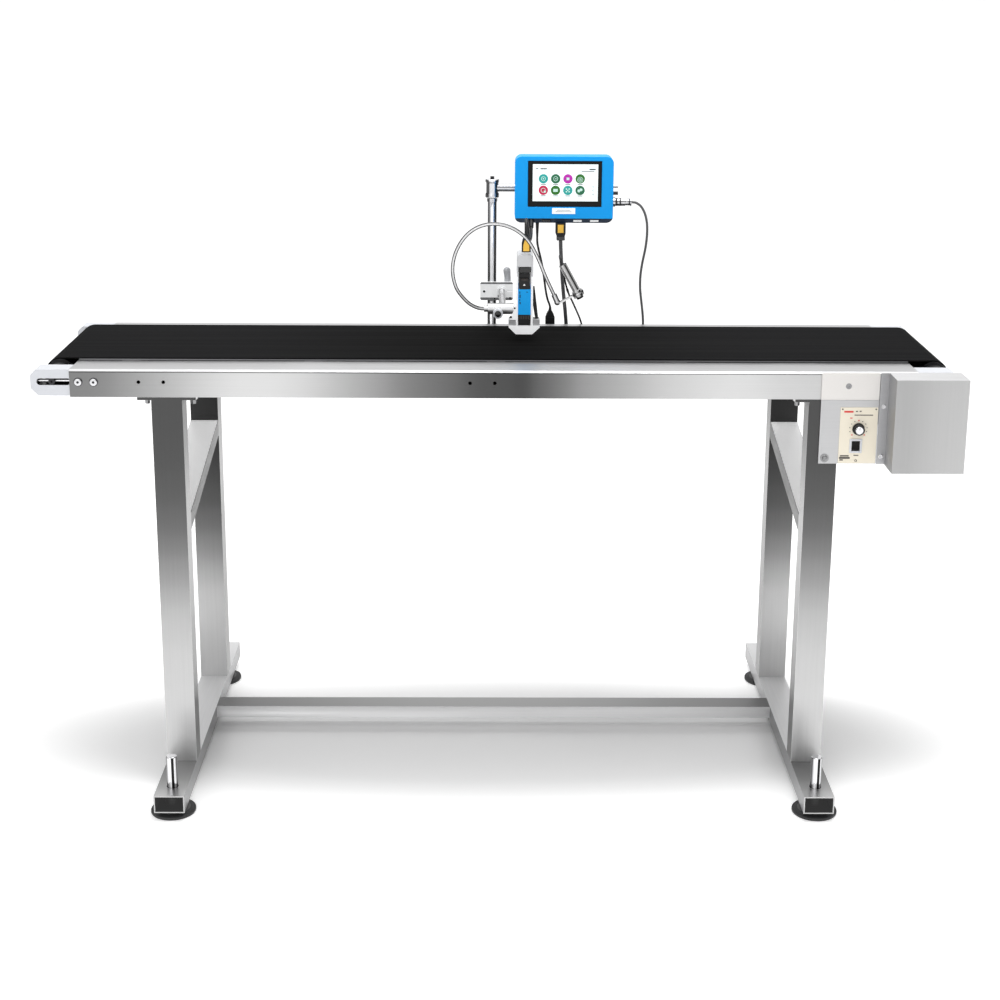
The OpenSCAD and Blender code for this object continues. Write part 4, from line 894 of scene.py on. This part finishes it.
def speed_control():
    """The cream plate with its dial marks, the rocker's bezel, and the speed knob."""
    plate = from_cad("control_panel_skin", "control_panel", [MAT["cream"], MAT["white"]],
                     pick=lambda c, n: 1 if c.y < -205.1 or c.y > -203.9 else 0, width=0.0005)
    settle(plate, "conveyor", "cream_plastic", "control_panel")
    skin("rocker", ("bezel_and_hole_shade",), "black_plastic", body="rocker", width=0.0005)
    red = plastic("mark_red", srgb(214, 52, 44), 0.4)
    ink = plastic("mark_dark", srgb(74, 70, 66), 0.45)
    bm = bmesh.new()
    y0, y1 = -205.35, -204.95
    for i in range(11):
        a = math.radians(225 - 27 * i)
        add_disc(bm, KNOB_X + 14.2 * math.cos(a), KNOB_Z + 14.2 * math.sin(a), y0, y1,
                 0.75 if i % 5 else 1.15, 0 if i % 5 else 1, 12)
    for lo, hi, c in (((564, 663.4), (579, 666.2), 1), ((583, 664.6), (586, 666.4), 0),
                      ((589, 664.6), (592, 666.4), 0), ((581, 658.6), (611, 660.0), 0),
                      ((574, 653.6), (578, 655.0), 1), ((561, 589.6), (575, 591.6), 0),
                      ((559.6, 585.6), (577, 588.6), 0), ((560.4, 582.6), (566, 584.6), 0),
                      ((583, 590.8), (591, 592.2), 0)):
        add_box(bm, (lo[0], y0, lo[1]), (hi[0], y1, hi[1]), c)
    add_disc(bm, 561.4, 669, y0, y1, 1.3, 0, 16)
    add_disc(bm, 615.6, 669, y0, y1, 1.3, 0, 16)
    add_disc(bm, 587, 582.5, y0, y1, 2.0, 0, 20, 1.2)
    settle(mesh_object("panel_marks", bm, [ink, red]), "conveyor", "cream_plastic")
    profile = [(0, 12.0), (5.4, 12.0), (5.9, 11.6), (6.1, 11.0), (6.4, 10.8), (7.9, 10.8),
               (8.5, 10.3), (8.8, 9.4)]
    h = 9.0
    while h > 2.6:
        profile += [(8.8, h), (8.45, h - 0.35), (8.8, h - 0.7)]
        h -= 0.9
    profile += [(9.0, 2.2), (9.8, 1.9), (10, 1.4), (10, 0.6), (9.6, 0.4), (3, 0.4), (3, -13)]
    knob = lathe("speed_knob_skin", profile, (KNOB_X, -205, KNOB_Z), TO_FRONT,
                 [MAT["black"], MAT["chrome"]], 48, pick=lambda i: 1 if i < 4 else 0)
    settle(knob, "speed_knob", "black_plastic", "speed_knob")
    bm = bmesh.new()
    add_box(bm, (588.1, -217.25, 636.5), (588.9, -216.9, 641.2))
    settle(mesh_object("speed_knob_pointer", bm, [ink]), "speed_knob", "black_plastic")


# ---------------- controller

def fitting_face(c, n):
    """0 black, 1 bright, 2 white, 3 dark metal"""
    if c.x > 207.9:
        if c.z > 965:
            return 1 if c.z > 978 else 3
        return 3 if 212.5 < c.x < 216 or 219.5 < c.x < 222.5 or 236 < c.x < 238.5 else 1
    return 2 if c.z > 933 or c.x > 135 else 0


def bevel_port(name, x, width, insert):
    """A socket in the controller's lower front bevel: black frame and an insert."""
    bm = bmesh.new()
    add_box(bm, (-width / 2, -0.3, -2.2), (width / 2, 1.0, 3.2))
    add_box(bm, (-width / 2 + 0.9, -0.45, -1.6), (width / 2 - 0.9, 0.5, 2.4), 1)
    turn = Matrix.Rotation(math.radians(45), 4, "X")
    bm.transform(Matrix.Translation(Vector((x, 147.2, 921.7)) * MM) @ turn)
    ob = mesh_object(name, bm, [MAT["black"], insert], 20)
    settle(bevelled(ob, 0.0003), "conveyor", "black_plastic")


def controller():
    # painted shade: the housing's downward faces and lower front bevel take the darker navy blue
    skin("controller_front", ("blue", "navy"), "blue_plastic", width=0.0020, segments=4,
         pick=lambda c, n: 1 if n.z < -0.5 or (n.y < -0.2 and n.z < -0.2) else 0)
    skin("controller_back", ("blue", "navy", "dark"), "blue_plastic", width=0.0020, segments=4,
         pick=lambda c, n: 2 if c.y > 183.2 else (1 if n.z < -0.5 and c.z < 920 else 0))
    skin("screen", ("bezel_and_hole_shade",), "screen_glass", width=0.0005)
    skin("controller_fittings", ("black", "arm_rod", "plate", "dark"), "black_plastic",
         width=0.0005, pick=fitting_face,
         cuts=((0, 212.5), (0, 216), (0, 219.5), (0, 222.5), (0, 236), (0, 238.5)))
    bm = bmesh.new()
    add_box(bm, (110.6, 149.7, 899.5), (121.2, 150.6, 914.5))
    settle(bevelled(mesh_object("data_plug_insert", bm, [MAT["gold"]]), 0.0006), "conveyor",
           "black_plastic")
    bm = bmesh.new()
    for z in (887.2, 889.2, 891.2):
        add_box(bm, (108.9, 150.1, z), (123.9, 161.9, z + 1.1))
    ribs = mesh_object("data_plug_ribs", bm, [plastic("rib_grey", srgb(96, 96, 98), 0.4)])
    settle(bevelled(ribs, 0.0003), "conveyor", "black_plastic")
    bevel_port("port_left", 90, 15.5, MAT["gloss_black"])


def display():
    """The lit touch screen: a generic menu of eight round icons, header and side marks."""
    tints = {"teal": (34, 164, 158), "green": (22, 104, 66), "pink": (186, 26, 172),
             "leaf": (30, 110, 16), "red": (198, 18, 76)}
    mats = [MAT["display"]] + [glow("icon_" + k, srgb(*v), 0.12) for k, v in tints.items()]
    mats += [glow("icon_mark", srgb(196, 232, 222), 0.2),
             plastic("menu_ink", srgb(52, 58, 64), 0.5)]
    pick = {k: i + 1 for i, k in enumerate(tints)}
    mark, ink = 6, 7
    bm = bmesh.new()
    y = 143.0
    add_box(bm, (65.2, y, 957.3), (180.4, y + 0.3, 1022.5))
    rows = ((997.0, ("teal", "green", "pink", "leaf")), (976.6, ("red", "leaf", "teal", "green")))
    y1 = y - 0.08
    for z, row in rows:
        for x, tint in zip((84, 105.6, 127.3, 149), row):
            add_disc(bm, x, z, y1, y + 0.1, 8.3, pick[tint], 40)
            for k in range(3):
                w = (3.2, 4.6, 2.6)[k]
                add_box(bm, (x - w, y1, z - 10.4 - 0.01 * k), (x + w, y + 0.1, z - 9.3), ink)
    y2 = y - 0.14
    add_disc(bm, 84, 997, y2, y, 4.0, mark, 28, 3.2)
    add_disc(bm, 84, 997, y2, y, 1.2, mark, 16)
    add_disc(bm, 105.6, 997, y2, y, 4.2, mark, 28, 3.4)
    add_box(bm, (104, y2, 996.4), (108, y, 997.4), mark)
    add_box(bm, (124.8, y2, 994.8), (129.8, y, 999.2), mark)
    add_disc(bm, 149, 995.4, y2, y, 1.1, mark, 14)
    for r in (3.0, 5.0):
        add_disc(bm, 149, 995.4, y2, y, r, mark, 24, r - 0.7)
    add_disc(bm, 84, 976.6, y2, y, 4.2, mark, 28, 3.4)
    add_disc(bm, 86.8, 974.2, y2 - 0.03, y, 2.0, mark, 18)
    add_box(bm, (101.6, y2, 974.0), (109.6, y, 979.2), mark)
    for dx, dz in ((-2.4, -2.4), (2.4, -2.4), (-2.4, 2.4), (2.4, 2.4), (0, 0)):
        add_disc(bm, 127.3 + dx, 976.6 + dz, y2, y, 1.3, mark, 14)
    add_disc(bm, 146.8, 975.8, y2, y, 2.6, mark, 20)
    add_disc(bm, 150.6, 977.8, y2, y, 2.6, mark, 20)
    add_box(bm, (78.5, y1, 1013.6), (90, y, 1015.6), ink)
    add_box(bm, (70, y1, 1013.9), (75, y, 1015.3), ink)
    add_box(bm, (165, y1, 1012.6), (176, y, 1014.8), ink)
    add_box(bm, (151, y1, 1009.4), (174, y, 1010.6), ink)
    for z in (983.5, 976.5, 969.5):
        add_disc(bm, 172.4, z, y1, y, 1.7, ink, 18, 1.2)
    settle(mesh_object("display_menu", bm, mats, 20), "conveyor", "screen_glass")
    bm = bmesh.new()
    add_box(bm, (106, 142.28, 938.2), (135, 142.42, 939.2))
    add_box(bm, (108.5, 142.28, 941.0), (132.5, 142.42, 941.9))
    settle(mesh_object("plate_lines", bm, [plastic("plate_grey", srgb(150, 156, 164), 0.5)]),
           "conveyor", "black_plastic")


# ---------------- print head

def screw(name, centre, r, height, body, slot):
    """A small domed screw that faces the front."""
    dome = [(0, height), (r * 0.6, height), (r * 0.9, height - 0.3), (r, height - 0.9), (r, -1)]
    settle(lathe(name, dome, centre, TO_FRONT, [MAT["bezel_and_hole_shade"]], 20), body, slot)


def print_head():
    # the clamp block on the pole takes the pole's painted reflections
    skin("top_clamp", ("pole", "black"), "alu", width=0.0006,
         pick=lambda c, n: 1 if c.z > 990.2 else 0)
    # painted shade: grey on the rounded edges, black in the hole at x -20, z 788; the cast alloy
    # glows a little as painted light
    skin("clamp_block", ("alu", "alu_dark", "bezel_and_hole_shade", "outline"), "alu", body="head_arm",
         width=0.0010, edge=3, cuts=((2, 777), (2, 801.5)),
         pick=lambda c, n: 2 if math.hypot(c.x + 20, c.z - 788) < 2.4 else
         (1 if c.z < 777 or c.z > 801.5 and n.z < 0.5 else 0))
    for k, (x, z, r) in enumerate(((6.3, 779.7, 1.9), (-0.7, 775, 1.6), (27.1, 776.3, 1.8))):
        screw("clamp_screw_%d" % k, (x, 178, z), r, 1.4, "head_arm", "alu")
    for k, (x, z, r) in enumerate(((32.6, 791, 1.7), (26.2, 775.4, 2.0))):
        screw("head_screw_%d" % k, (x, 8, z), r, 1.3, "head", "white_block")
    skin("clamp_lever", ("frosted",), "alu", body="clamp_lever", width=0.0004)
    skin("cross_rod", ("pole",), "bright_screw", body="head", width=0.0004)
    skin("front_clamp", ("clamp_tube",), "alu", body="head", width=0.0006)
    skin("latch", ("gloss_black",), "black_plastic", body="latch", width=0.0004)
    skin("junction_box", ("black",), "black_plastic", width=0.0010)

    def head_part(c, n):
        """0 white, 1 knurled pads, 2 black strap, 4 lid, a darker copy of the white as painted
        shade
        """
        if (c.x < 35.2 or c.x > 64.05) and 760.2 < c.z < 770.8 and 9.5 < c.y < 34.5:
            return 1
        if c.x > 64.05 and c.z > 770.6:
            return 2
        return 4 if c.z > 838 else 0
    # painted shade: grey on the rounded edges and a darker lid; the head's white glows a little as
    # painted light
    skin("head_frame", ("head_white", "knurl", "black", "outline", "head_top"), "white_block",
         body="head", pick=head_part, width=0.0011, edge=3, cuts=((2, 846),))
    skin("cartridge", ("black", "label"), "black_plastic", body="cartridge", width=0.0006,
         pick=lambda c, n: 1 if 779.3 < c.z < 824 else 0, cuts=((2, 779.3), (2, 824)))
    bm = bmesh.new()
    y0, y1 = 8.82, 9.2
    for lo, hi in (((40.6, 816), (42.0, 820)), ((40.8, 809), (42.6, 814.6)),
                   ((40.6, 803.4), (42.0, 807)), ((41.0, 798), (42.8, 801.8)),
                   ((52.6, 818), (53.4, 820)), ((54.2, 818), (55.0, 820))):
        add_box(bm, (lo[0], y0, lo[1]), (hi[0], y1, hi[1]))
    for k in range(6):
        x = 41.6 + 2.9 * k
        add_box(bm, (x, y0, 771.5), (x + 0.9, y1, 778), 1)
    for k in range(3):
        z = 838.5 + 1.6 * k
        add_box(bm, (44, y0, z), (55, y1, z + 0.6), 1)
    v = [bm.verts.new((x * MM, y * MM, z * MM)) for y in (y0, y1)
         for x, z in ((46.6, 830.4), (51.0, 830.4), (48.8, 833.6))]
    for f in ((0, 1, 2), (5, 4, 3), (0, 3, 4, 1), (1, 4, 5, 2), (2, 5, 3, 0)):
        bm.faces.new([v[i] for i in f]).material_index = 2
    settle(mesh_object("cartridge_marks", bm,
                       [MAT["navy"], plastic("rib_brown", srgb(84, 74, 68), 0.45),
                        MAT["head_white"]], 20), "cartridge", "black_plastic")
    ring = lathe("front_knob_skin",
                 [(0, 9.4), (5.0, 9.4), (5.6, 9.1), (5.8, 8.6), (6.0, 8.5), (7.6, 8.5),
                  (8.4, 8.0), (8.6, 7.2), (8.6, 1.0), (8.2, 0.2), (2.5, 0), (2.5, -6.4)],
                 (4, 20, 780), TO_FRONT, [MAT["white"], MAT["gloss_black"]], 40,
                 pick=lambda i: 1 if i < 3 else 0)
    settle(ring, "front_knob", "white_block", "front_knob")


def sensor_arm():
    neck = [[-15, 28, 786], [-29, 26, 787.5], [-44, 23, 795], [-57, 20, 808], [-67, 17, 823],
            [-72.5, 15, 841], [-74, 13, 859], [-71.5, 11, 877], [-66, 9.5, 893], [-57.5, 8, 908],
            [-46, 7, 921], [-32, 6, 930.5], [-16, 5, 936], [0, 4, 937], [16, 3.5, 934.5],
            [32, 3, 928], [46, 3, 918], [57, 3.5, 905.5], [66.5, 4.5, 889], [75, 6, 871],
            [83, 7.5, 851], [91.5, 9.5, 832], [101.4, 11.5, 811.2]]
    path = smooth_path(neck, 24)
    tube = sweep("flexible_arm", path, lambda i: 3.2 if i % 2 else 3.02, [MAT["neck"]], 18)
    settle(tube, "head", "bright_screw", "gooseneck")
    settle(from_cad("sensor_bracket_skin", "sensor_bracket", [MAT["neck"]], width=0.0005), "head",
           "alu", "sensor_bracket")
    end = Vector((140.4, 12, 818.2))
    way = Vector((-math.sin(math.radians(28.6)), 0, math.cos(math.radians(28.6))))

    def along(c, n):
        h = (c - end).dot(way)
        return 1 if h < -7.9 or h > 54.9 else 0
    ob = from_cad("sensor_skin", "sensor", [MAT["barrel"], MAT["black"]], pick=along,
                  width=0.0004)
    settle(ob, "sensor", "bright_screw", "sensor")


# ---------------- floor and finish

def make_floor():
    """A white sweep that fades into the background away from the machine's soft shadow."""
    bm = bmesh.new()
    bmesh.ops.create_grid(bm, x_segments=1, y_segments=1, size=60.0)
    n = Nodes("floor_white")
    n.link(n.blend(1.0, (0.95, 0.95, 0.95, 1), n.spread(n.noise((2, 2, 2)), 0.995, 1.0),
                   "MULTIPLY"), n.p.inputs["Base Color"])
    across = n.maths("MULTIPLY", n.axis("X"), n.axis("X"))
    along = n.maths("MULTIPLY", n.axis("Y"), n.axis("Y"))
    far = n.maths("ADD", n.maths("MULTIPLY", across, 0.35), n.maths("MULTIPLY", along, 4.0))
    n.set(Roughness=0.9)
    n.p.inputs["Specular IOR Level"].default_value = 0.0
    n.p.inputs["Emission Color"].default_value = WHITE
    n.link(n.spread(far, 0.0, 0.34, 0.10, 0.36, True), n.p.inputs["Emission Strength"])
    ob = mesh_object("floor", bm, [n.m])


make_camera()
make_world()
make_lights()
cables()
conveyor()
for corner in ("left_front_foot", "left_rear_foot", "right_front_foot", "right_rear_foot"):
    foot(corner)
speed_control()
controller()
display()
print_head()
sensor_arm()
make_floor()
